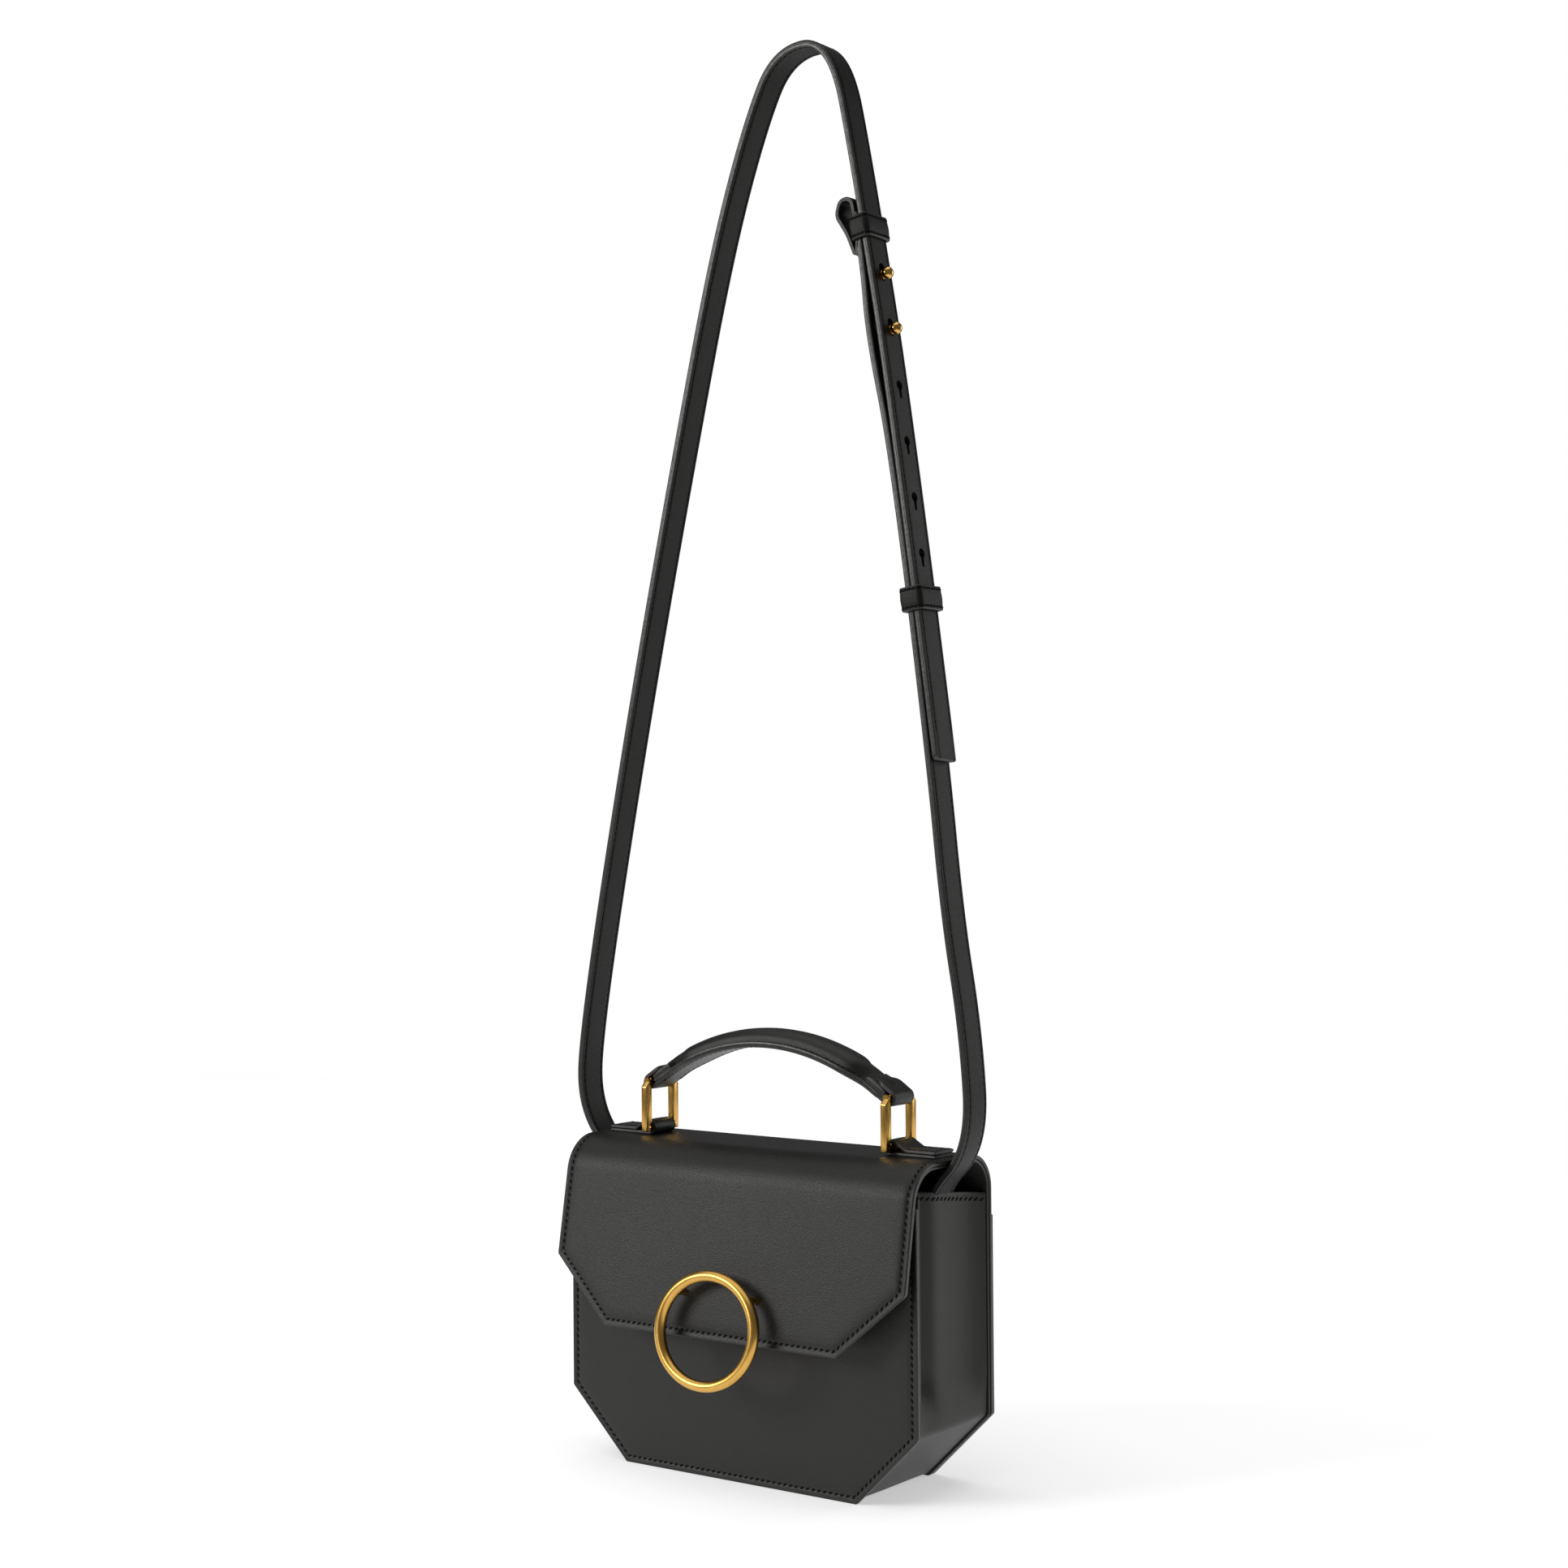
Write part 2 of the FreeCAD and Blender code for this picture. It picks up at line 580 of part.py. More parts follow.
def anchor(side, word):
    """Tab sewn inside the gusset, its ring, and the loop that holds the strap's end."""
    pieces = []
    for way in (-1, 1):
        corner = Vec(side * anchor_x - ANCHOR_POST / 2, (way * anchor_spread - ANCHOR_POST) / 2,
                     anchor_low - ANCHOR_POST / 2)
        pieces.append(Part.makeBox(ANCHOR_POST, ANCHOR_POST, ANCHOR_TALL + ANCHOR_POST, corner))
    for z in (anchor_low, anchor_high):
        start = Vec(side * anchor_x, -anchor_spread / 2, z)
        pieces.append(cylinder(anchor_bar_r, anchor_spread, start, Vec(0, 1, 0)))
    solid("anchor_ring_" + word, pieces[0].fuse(pieces[1:]).removeSplitter())
    wall = anchor_x + anchor_loop
    free = anchor_x - anchor_loop
    crest = anchor_low + anchor_loop
    second = wall - anchor_ply - PLY_GAP
    tab = [(wall, anchor_low - ANCHOR_SEAM), (wall, crest), (free, crest), (free, anchor_low - 3),
           (second, anchor_low - 7), (second, anchor_low - ANCHOR_SEAM)]
    tab = [(side * x, z) for x, z in tab]
    radii = {1: anchor_loop, 2: anchor_loop, 3: ANCHOR_BEND, 4: ANCHOR_BEND}
    solid("anchor_tab_" + word, band(tab, anchor_ply, -loop_width / 2, loop_width, radii))
    low = anchor_high - anchor_loop
    high = anchor_high + ANCHOR_LOOP_LEG
    loop = [(side * wall, high), (side * wall, low), (side * free, low), (side * free, high)]
    radii = {1: anchor_loop, 2: anchor_loop}
    solid("strap_end_" + word, band(loop, anchor_ply, -loop_width / 2, loop_width, radii))


for side, word in ((-1, "left"), (1, "right")):
    anchor(side, word)

# ---------------------------------------------------------------- shoulder strap: a long and a short piece
strap_w = size("strap_width")
strap_t = size("strap_thickness")
pair_gap = strap_t + size("strap_gap")
foot_z = anchor_high + anchor_bar_r + 1.0
over_z = top + 0.5
half_w = size("panel_width") / 2

# both pieces share the doubled stretch on the right; each list runs from the bag upwards (x, z)
DOUBLE = [(52.0, top + 450.0), (72.5, top + 334.0), (92.0, top + 187.5)]
LONG_ROUTE = [(-anchor_x, foot_z), (-anchor_x, over_z), (-half_w - 15.5, top + 26.5),
              (-half_w - 12.5, top + 69.0), (-half_w + 16.8, top + 210.0), (-47.0, top + 342.0),
              (-26.0, top + 425.0), (-7.0, top + 479.0), (9.0, top + 508.8), (39.5, top + 508.8)] + DOUBLE


def double_at(z):
    """Centre of the long piece at height z on the doubled stretch, and its downward direction."""
    start, end = DOUBLE[:2] if z > DOUBLE[1][1] else DOUBLE[1:]
    share = (start[1] - z) / (start[1] - end[1])
    return start[0] + share * (end[0] - start[0]), unit(start, end)


def inner_side(z, slack=0.0):
    """Point of the short piece inwards of the long piece at height z, standing off by slack."""
    x, direction = double_at(z)
    return (x + direction[1] * (pair_gap + slack), z - direction[0] * (pair_gap + slack))


SHORT_SLACK = 3.0
SHORT_ROUTE = [(anchor_x, foot_z), (anchor_x, over_z), (half_w + 12.0, top + 23.5),
               (half_w + 9.0, top + 72.0), (half_w + 0.2, top + 122.0), inner_side(top + 190.0),
               inner_side(top + 322.0), inner_side(top + 376.0, SHORT_SLACK), inner_side(top + 407.0),
               inner_side(top + 430.0)]

long_shape = band(LONG_ROUTE, strap_t, -strap_w / 2, strap_w, name="strap_long")
short_shape = band(SHORT_ROUTE, strap_t, -strap_w / 2, strap_w, name="strap_short")


# axis pointing out of the strap's face, and two studs through the short piece
STUD_TOP = top + 401.6
HOLES = 6
NECK_RADIUS = 1.5
HOLE_RADIUS = 2.2
SLIT_HALF = 0.8
SLIT_LENGTH = 6.0
BALL_RADIUS = 2.7
BALL_STANDOFF = 2.6
DISC_RADIUS = 4.0
DISC_THICKNESS = 1.0
DISC_GAP = 0.7
STUD_SAG = 3.0
cutter_depth = 4 * strap_t
studs = []
for i in range(HOLES):
    z = STUD_TOP - i * size("hole_pitch")
    x, direction = double_at(z)
    out = Vec(-direction[1], 0, direction[0])
    down = Vec(direction[0], 0, direction[1])
    middle = Vec(x, 0, z)
    eye = middle - down * STUD_SAG if i < 2 else middle
    turned = FreeCAD.Rotation(down, Vec(0, 1, 0), out, "XYZ")
    hole = cylinder(HOLE_RADIUS, cutter_depth, eye - out * cutter_depth / 2, out)
    slit = Part.makeBox(SLIT_LENGTH, 2 * SLIT_HALF, cutter_depth, Vec(0, -SLIT_HALF, -cutter_depth / 2))
    slit.Placement = FreeCAD.Placement(eye, turned).multiply(slit.Placement)
    long_shape = long_shape.cut(hole.fuse(slit))
    if i < 2:
        axis = Part.makeLine(middle - out * 20, middle - out * strap_t / 2)
        back = max((middle - v.Point).dot(out) for v in short_shape.common(axis).Vertexes)
        base = middle - out * (back + DISC_GAP + DISC_THICKNESS)
        ball_centre = middle + out * (strap_t / 2 + BALL_STANDOFF)
        neck = cylinder(NECK_RADIUS, (ball_centre - base).Length, base, out)
        disc = cylinder(DISC_RADIUS, DISC_THICKNESS, base, out)
        studs.append(disc.fuse([neck, Part.makeSphere(BALL_RADIUS, ball_centre)]).removeSplitter())
        short_shape = short_shape.cut(neck)
        long_shape = long_shape.cut(neck)
        print("stud", i, "back of the short piece", round(back, 2))

# the long piece's tail, cut a little aslant so that its rear edge is the longer
tail_x, tail_z = DOUBLE[2]
TAIL_LONG_EDGE = 0.3
TAIL_SHORT_EDGE = 1.7
edge = strap_w / 2
rise = TAIL_SHORT_EDGE - TAIL_LONG_EDGE
tail_corners = [Vec(tail_x - 20, -2 * edge, tail_z - 5), Vec(tail_x - 20, 2 * edge, tail_z - 5),
                Vec(tail_x - 20, 2 * edge, tail_z + TAIL_LONG_EDGE - rise / 2),
                Vec(tail_x - 20, -2 * edge, tail_z + TAIL_SHORT_EDGE + rise / 2)]
tail_tool = Part.Face(Part.makePolygon(tail_corners + tail_corners[:1])).extrude(Vec(40, 0, 0))
solid("strap_long", long_shape.cut(tail_tool))
solid("strap_short", short_shape)
solid("strap_studs", Part.makeCompound(studs))

# ---------------------------------------------------------------- keepers and the folded top of the short piece
KEEPER_PLY = 1.4
KEEPER_CLEAR = 0.3
KEEPER_TALL = 10.5


def keeper(name, z, clear):
    """Leather loop round both straps, square to the run it sits on."""
    x, direction = double_at(z)
    out = Vec(-direction[1], 0, direction[0])
    middle = Vec(x, 0, z) - out * (pair_gap / 2)
    turned = FreeCAD.Rotation(Vec(direction[0], 0, direction[1]), Vec(0, 1, 0), out, "XYZ")
    inner_w = strap_w + 2 * clear
    inner_t = strap_t + pair_gap + 2 * clear

    def block(across, through, tall):
        shape = Part.makeBox(tall, across, through, Vec(-tall / 2, -across / 2, -through / 2))
        shape.Placement = FreeCAD.Placement(middle, turned).multiply(shape.Placement)
        return shape

    outer = block(inner_w + 2 * KEEPER_PLY, inner_t + 2 * KEEPER_PLY, KEEPER_TALL)
    solid(name, outer.cut(block(inner_w, inner_t, 2 * KEEPER_TALL)))
    print(name, "centre", [round(c, 3) for c in middle], "downward", [round(c, 5) for c in direction[:2]])


SLIDING_Z = top + 258.5
FIXED_Z = top + 423.0
keeper("keeper_sliding", SLIDING_Z, KEEPER_CLEAR)

FOLD_R = 2.6
FOLD_PLY = 2.4
FOLD_TOP = top + 428.0
keeper("keeper_fixed", FIXED_Z, KEEPER_CLEAR)
fold_x, fold_dir = double_at(FOLD_TOP)
fold_out = pair_gap + strap_t / 2 + KEEPER_CLEAR + KEEPER_PLY + FOLD_PLY / 2 + PLY_GAP


def on_fold(along, inward):
    return (fold_x + fold_dir[0] * along + fold_dir[1] * inward,
            FOLD_TOP + fold_dir[1] * along - fold_dir[0] * inward)


fold_points = [on_fold(15, fold_out), on_fold(-FOLD_R, fold_out), on_fold(-FOLD_R, fold_out + 2 * FOLD_R),
               on_fold(15, fold_out + 2 * FOLD_R)]
solid("strap_fold", band(fold_points, FOLD_PLY, -strap_w / 2, strap_w, {1: FOLD_R, 2: FOLD_R}))

# ---------------------------------------------------------------- check and export
doc.recompute()
for obj in doc.Objects:
    if "Invalid" in obj.State or "Error" in obj.State:
        raise RuntimeError("%s is in state %s" % (obj.Name, obj.State))
for obj in NODES:
    if obj.Shape.isNull() or not obj.Shape.isValid():
        raise RuntimeError("%s has no valid shape" % obj.Label)
for obj in NODES:
    obj.Shape.exportStep("parts/%s.step" % obj.Label)
    box = obj.Shape.BoundBox
    print("%-20s solids %d  volume %9.1f  x %.1f..%.1f  y %.1f..%.1f  z %.1f..%.1f" % (
        obj.Label, len(obj.Shape.Solids), obj.Shape.Volume, box.XMin, box.XMax, box.YMin, box.YMax,
        box.ZMin, box.ZMax))
print("frame shift", size(FRAME_SHIFT))
print("hinge axis y %.3f z %.3f" % (half_depth + size(FRAME_SHIFT), hinge_z))
print("ring bars x %.3f low %.3f high %.3f arch radius %.3f" % (ring_x, low_bar_z, high_bar_z, arch_r))
print("long route", [(round(x, 2), round(z, 2)) for x, z in LONG_ROUTE])
print("short route", [(round(x, 2), round(z, 2)) for x, z in SHORT_ROUTE])
print("crown", round(crown_z, 3), "anchor x", round(anchor_x, 3), "lock z", LOCK_Z)
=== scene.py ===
"""Looks of the top-handle handbag: leather, thread, gilt hardware, and a plain studio round it."""

import math

import bmesh
import bpy
from mathutils import Matrix, Vector


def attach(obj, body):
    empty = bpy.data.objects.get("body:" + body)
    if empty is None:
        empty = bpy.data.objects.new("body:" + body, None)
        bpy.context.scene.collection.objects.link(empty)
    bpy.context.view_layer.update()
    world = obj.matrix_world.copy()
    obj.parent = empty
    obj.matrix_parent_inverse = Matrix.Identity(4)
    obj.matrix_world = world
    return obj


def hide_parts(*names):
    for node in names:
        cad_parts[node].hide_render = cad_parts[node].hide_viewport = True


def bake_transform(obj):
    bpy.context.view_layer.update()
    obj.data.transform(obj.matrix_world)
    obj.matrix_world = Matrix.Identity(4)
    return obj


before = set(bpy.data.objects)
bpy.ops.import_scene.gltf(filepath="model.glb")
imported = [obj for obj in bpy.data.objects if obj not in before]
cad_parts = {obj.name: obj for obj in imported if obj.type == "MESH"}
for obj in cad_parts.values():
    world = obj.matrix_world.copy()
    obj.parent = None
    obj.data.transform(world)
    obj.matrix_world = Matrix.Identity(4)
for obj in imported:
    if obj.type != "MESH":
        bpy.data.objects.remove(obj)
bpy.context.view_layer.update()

# ------------------------------------------------------------------ sizes of the bag, in mm
DEPTH_SHIFT = 13.335  # the body's middle stands this far behind the frame's zero
PANEL_SIDE, PANEL_TOP, BASE_SIDE, CUT_HEIGHT = 95.0, 128.0, 63.4, 31.1
PANEL_PLY, LINING_PLY, POCKET_PLY, POCKET_TOP = 1.8, 1.2, 1.6, 118.0
BACK_FACE = 30.0
FLAP_SIDE, FLAP_PLY, FLAP_LINING_PLY = 95.4, 1.8, 1.4
ROOF, BACK_ROUND, FRONT_ROUND, LEAN = 146.0, 16.0, 18.0, 0.18
FLAP_CUT_Z, FLAP_LIP_Z = 93.0, 64.5
RING_X, LOW_BAR, HIGH_BAR, BAR = 66.6, 149.35, 170.55, 1.8
ARCH_RADIUS, CROWN_Z, END_SLOPE = 106.32, 193.547, math.radians(34)
STRAP_HALF, STRAP_PLY = 7.5, 3.0
SEAM = 2.9  # stitch line's distance from a sewn edge
PITCH = 3.0  # one stitch of the body's seams
STITCH_SINK = 0.36  # how deep a wall's stitches lie below its face
FLAP_STITCH_SINK = 0.40
ANCHOR_X, ANCHOR_Z = 83.8, 112.45  # where each strap leaves its ring inside the gusset


def at(x, y, z):
    """Point of the frame, in metres, from millimetres about the body's middle."""
    return Vector((x / 1000, (y + DEPTH_SHIFT) / 1000, z / 1000))


def soft_min(a, b, reach=1.2):
    """The lesser of two lengths, rounded where they meet."""
    return min(a, b) - max(reach - abs(a - b), 0) ** 2 / (4 * reach)


def ease(x):
    """Smooth step from 0 to 1."""
    x = min(max(x, 0.0), 1.0)
    return x * x * (3 - 2 * x)


# ------------------------------------------------------------------ shader groups
def new_group(name, inputs, outputs):
    tree = bpy.data.node_groups.new(name, "ShaderNodeTree")
    for label, value in inputs:
        tree.interface.new_socket(label, in_out="INPUT", socket_type="NodeSocketFloat").default_value = value
    for label, kind in outputs:
        tree.interface.new_socket(label, in_out="OUTPUT", socket_type=kind)
    return tree, tree.nodes.new("NodeGroupInput"), tree.nodes.new("NodeGroupOutput")


def math_node(tree, kind, a, b=None, clamp=False):
    node = tree.nodes.new("ShaderNodeMath")
    node.operation = kind
    node.use_clamp = clamp
    for socket, value in zip(node.inputs, (a, b)):
        if value is None:
            continue
        if isinstance(value, (int, float)):
            socket.default_value = value
        else:
            tree.links.new(value, socket)
    return node.outputs[0]


def make_grain_group():
    """Fine pores and pebbles of calf leather, with slow differences of tone over the hide."""
    tree, given, out = new_group(
        "calf_grain",
        [("Pebble Scale", 1500.0), ("Pore Scale", 3200.0), ("Pore Share", 0.5), ("Hide Scale", 22.0)],
        [("Height", "NodeSocketFloat"), ("Tone", "NodeSocketFloat")],
    )
    place = tree.nodes.new("ShaderNodeTexCoord").outputs["Object"]
    pebbles = tree.nodes.new("ShaderNodeTexVoronoi")
    pebbles.feature = "SMOOTH_F1"
    pebbles.inputs["Smoothness"].default_value = 0.6
    pores = tree.nodes.new("ShaderNodeTexNoise")
    pores.inputs["Detail"].default_value = 3.0
    hide = tree.nodes.new("ShaderNodeTexNoise")
    hide.inputs["Detail"].default_value = 2.0
    for texture, scale in ((pebbles, "Pebble Scale"), (pores, "Pore Scale"), (hide, "Hide Scale")):
        tree.links.new(place, texture.inputs["Vector"])
        tree.links.new(given.outputs[scale], texture.inputs["Scale"])
    fine = math_node(tree, "MULTIPLY", pores.outputs[0], given.outputs["Pore Share"])
    height = math_node(tree, "ADD", pebbles.outputs["Distance"], fine)
    tree.links.new(height, out.inputs["Height"])
    tree.links.new(hide.outputs[0], out.inputs["Tone"])
    return tree


def make_wear_group():
    """Mask of the polished rim that handling leaves along an edge, broken up a little."""
    tree, given, out = new_group("edge_rub", [("Amount", 1.0), ("Break Scale", 400.0)],
                                 [("Mask", "NodeSocketFloat")])
    rim = tree.nodes.new("ShaderNodeAttribute")
    rim.attribute_name = "rim"
    noise = tree.nodes.new("ShaderNodeTexNoise")
    noise.inputs["Detail"].default_value = 3.0
    place = tree.nodes.new("ShaderNodeTexCoord").outputs["Object"]
    tree.links.new(place, noise.inputs["Vector"])
    tree.links.new(given.outputs["Break Scale"], noise.inputs["Scale"])
    worn = math_node(tree, "MULTIPLY", rim.outputs["Fac"], noise.outputs[0])
    worn = math_node(tree, "MULTIPLY", worn, given.outputs["Amount"], clamp=True)
    tree.links.new(worn, out.inputs["Mask"])
    return tree


GRAIN = make_grain_group()
RUB = make_wear_group()


def place_group(material, tree, **values):
    node = material.node_tree.nodes.new("ShaderNodeGroup")
    node.node_tree = tree
    for label, value in values.items():
        node.inputs[label.replace("_", " ")].default_value = value
    return node


def blank_material(name):
    material = bpy.data.materials.new(name)
    material.use_nodes = True
    return material, material.node_tree, material.node_tree.nodes["Principled BSDF"]


def mix_colour(tree, mask, first, second):
    node = tree.nodes.new("ShaderNodeMix")
    node.data_type = "RGBA"
    tree.links.new(mask, node.inputs["Factor"])
    for socket, value in ((node.inputs["A"], first), (node.inputs["B"], second)):
        if isinstance(value, tuple):
            socket.default_value = (*value, 1)
        else:
            tree.links.new(value, socket)
    return node.outputs["Result"]


def ramp(tree, value, low, high):
    node = tree.nodes.new("ShaderNodeMapRange")
    tree.links.new(value, node.inputs["Value"])
    node.inputs["To Min"].default_value = low
    node.inputs["To Max"].default_value = high
    return node.outputs["Result"]


def leather(name, dark, light, rub, rough, bump, pebble=1500.0, pore=3200.0, coat=0.0, gloss=0.34):
    """Dyed leather: two tones over the hide, lighter and smoother where its edges are rubbed."""
    material, tree, surface = blank_material(name)
    grain = place_group(material, GRAIN, Pebble_Scale=pebble, Pore_Scale=pore)
    worn = place_group(material, RUB)
    body = mix_colour(tree, grain.outputs["Tone"], dark, light)
    tree.links.new(mix_colour(tree, worn.outputs["Mask"], body, rub), surface.inputs["Base Color"])
    base = ramp(tree, grain.outputs["Tone"], rough - 0.05, rough + 0.05)
    pits = math_node(tree, "MULTIPLY", grain.outputs["Height"], 0.08)
    smooth = math_node(tree, "MULTIPLY", worn.outputs["Mask"], -0.1)
    total = math_node(tree, "ADD", math_node(tree, "ADD", base, pits), smooth, clamp=True)
    tree.links.new(total, surface.inputs["Roughness"])
    relief = tree.nodes.new("ShaderNodeBump")
    relief.inputs["Strength"].default_value = bump
    relief.inputs["Distance"].default_value = 0.0002
    tree.links.new(grain.outputs["Height"], relief.inputs["Height"])
    tree.links.new(relief.outputs[0], surface.inputs["Normal"])
    surface.inputs["Coat Weight"].default_value = coat
    surface.inputs["Coat Roughness"].default_value = 0.3
    surface.inputs["Specular IOR Level"].default_value = gloss
    surface.inputs["Specular Tint"].default_value = (1.0, 0.99, 0.95, 1)
    return material


CALF = leather("black_calf", (0.0042, 0.0042, 0.004), (0.0085, 0.0085, 0.0078), (0.024, 0.024, 0.022), 0.36,
               0.45, pebble=2500.0, pore=4200.0, gloss=0.4)
STRAP_CALF = leather("strap_calf", (0.0035, 0.0035, 0.0035), (0.007, 0.007, 0.0068), (0.02, 0.02, 0.019), 0.4,
                     0.45, pebble=2500.0, pore=4200.0, gloss=0.26)
LINING = leather("lining_suede", (0.010, 0.0095, 0.009), (0.018, 0.017, 0.016), (0.02, 0.02, 0.02), 0.75, 0.8,
                 pebble=900.0, pore=5200.0)
EDGE = leather("edge_paint", (0.008, 0.008, 0.0078), (0.014, 0.014, 0.0135), (0.03, 0.03, 0.028), 0.36, 0.25,
               pebble=700.0, pore=2600.0, coat=0.1, gloss=0.45)
BOARD = leather("board_cloth", (0.010, 0.010, 0.010), (0.016, 0.016, 0.016), (0.02, 0.02, 0.02), 0.8, 0.9,
                pebble=2600.0)


def make_thread():
    """Waxed black thread: fine slanted twist along each stitch."""
    material, tree, surface = blank_material("waxed_thread")
    twist = tree.nodes.new("ShaderNodeTexWave")
    twist.inputs["Scale"].default_value = 900.0
    twist.inputs["Distortion"].default_value = 2.0
    place = tree.nodes.new("ShaderNodeTexCoord").outputs["Object"]
    tree.links.new(place, twist.inputs["Vector"])
    tree.links.new(mix_colour(tree, twist.outputs[1], (0.002, 0.002, 0.002), (0.006, 0.006, 0.0057)),
                   surface.inputs["Base Color"])
    tree.links.new(ramp(tree, twist.outputs[1], 0.6, 0.8), surface.inputs["Roughness"])
    surface.inputs["Specular IOR Level"].default_value = 0.15
    relief = tree.nodes.new("ShaderNodeBump")
    relief.inputs["Strength"].default_value = 0.4
    relief.inputs["Distance"].default_value = 0.00008
    tree.links.new(twist.outputs[1], relief.inputs["Height"])
    tree.links.new(relief.outputs[0], surface.inputs["Normal"])
    return material


def metal(name, deep, bright, rub, low_rough, high_rough, brush, bump):
    """Plated metal: faint brushing and slow differences of tone, brighter on rubbed edges."""
    material, tree, surface = blank_material(name)
    place = tree.nodes.new("ShaderNodeTexCoord").outputs["Object"]
    stretch = tree.nodes.new("ShaderNodeMapping")
    stretch.inputs["Scale"].default_value = brush
    tree.links.new(place, stretch.inputs["Vector"])
    lines = tree.nodes.new("ShaderNodeTexNoise")
    lines.inputs["Scale"].default_value = 1.0
    lines.inputs["Detail"].default_value = 3.0
    tree.links.new(stretch.outputs[0], lines.inputs["Vector"])
    cloud = tree.nodes.new("ShaderNodeTexNoise")
    cloud.inputs["Scale"].default_value = 140.0
    tree.links.new(place, cloud.inputs["Vector"])
    worn = place_group(material, RUB, Amount=1.2)
    tone = mix_colour(tree, cloud.outputs[0], deep, bright)
    tree.links.new(mix_colour(tree, worn.outputs["Mask"], tone, rub), surface.inputs["Base Color"])
    tree.links.new(ramp(tree, lines.outputs[0], low_rough, high_rough), surface.inputs["Roughness"])
    surface.inputs["Metallic"].default_value = 1.0
    relief = tree.nodes.new("ShaderNodeBump")
    relief.inputs["Strength"].default_value = bump
    relief.inputs["Distance"].default_value = 0.00004
    tree.links.new(lines.outputs[0], relief.inputs["Height"])
    tree.links.new(relief.outputs[0], surface.inputs["Normal"])
    return material


THREAD = make_thread()
# near-black, almost glossless leather for flat discs under the stitches: painted shade of the pits the thread
# pulls into the leather
PIT_SHADE = leather("painted_pit_shade", (0.0016, 0.0016, 0.0015), (0.003, 0.003, 0.0028), (0.004, 0.004, 0.004), 0.8,
               0.5, gloss=0.08)
SATIN_GOLD = metal("satin_gold", (0.60, 0.34, 0.075), (0.72, 0.43, 0.11), (0.9, 0.62, 0.24), 0.25, 0.33,
                   (900.0, 900.0, 900.0), 0.12)
RING_GOLD = metal("brushed_gold", (0.58, 0.33, 0.075), (0.70, 0.42, 0.11), (0.9, 0.62, 0.24), 0.16, 0.32,
                  (3000.0, 3000.0, 160.0), 0.35)
STUD_GOLD = metal("polished_gold", (0.64, 0.38, 0.09), (0.76, 0.47, 0.13), (0.92, 0.66, 0.28), 0.07, 0.15,
                  (700.0, 700.0, 700.0), 0.1)
STEEL = metal("plated_steel", (0.5, 0.49, 0.47), (0.6, 0.59, 0.57), (0.75, 0.74, 0.72), 0.2, 0.38,
              (1500.0, 1500.0, 1500.0), 0.3)


# ------------------------------------------------------------------ mesh helpers
def make_piece(name, points, faces, finishes, face_finish=None, rim=None, crease=38):
    mesh = bpy.data.meshes.new(name)
    mesh.from_pydata([tuple(p) for p in points], [], faces)
    for finish in finishes:
        mesh.materials.append(finish)
    if face_finish:
        mesh.polygons.foreach_set("material_index", face_finish)
    if rim is not None:
        mesh.attributes.new("rim", "FLOAT", "POINT").data.foreach_set("value", rim)
    shell = bmesh.new()
    shell.from_mesh(mesh)
    bmesh.ops.recalc_face_normals(shell, faces=shell.faces)
    shell.to_mesh(mesh)
    shell.free()
    mesh.shade_smooth()
    mesh.set_sharp_from_angle(angle=math.radians(crease))
    mesh.update()
    obj = bpy.data.objects.new(name, mesh)
    bpy.context.scene.collection.objects.link(obj)
    return obj


def show(obj, body, slot, *replaced):
    """Lets a finished piece ride and stand for its CAD nodes, which it hides; its slot is not used."""
    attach(obj, body)
    if replaced:
        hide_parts(*replaced)
    return obj


# ------------------------------------------------------------------ flat-cut leather pieces
EDGE_STEPS = (0.0, 0.1, 0.28, 0.55, 1.1, 1.9, 2.35, 2.65, 2.9, 3.15, 3.45, 4.1, 5.5, 8.5, 13.0)


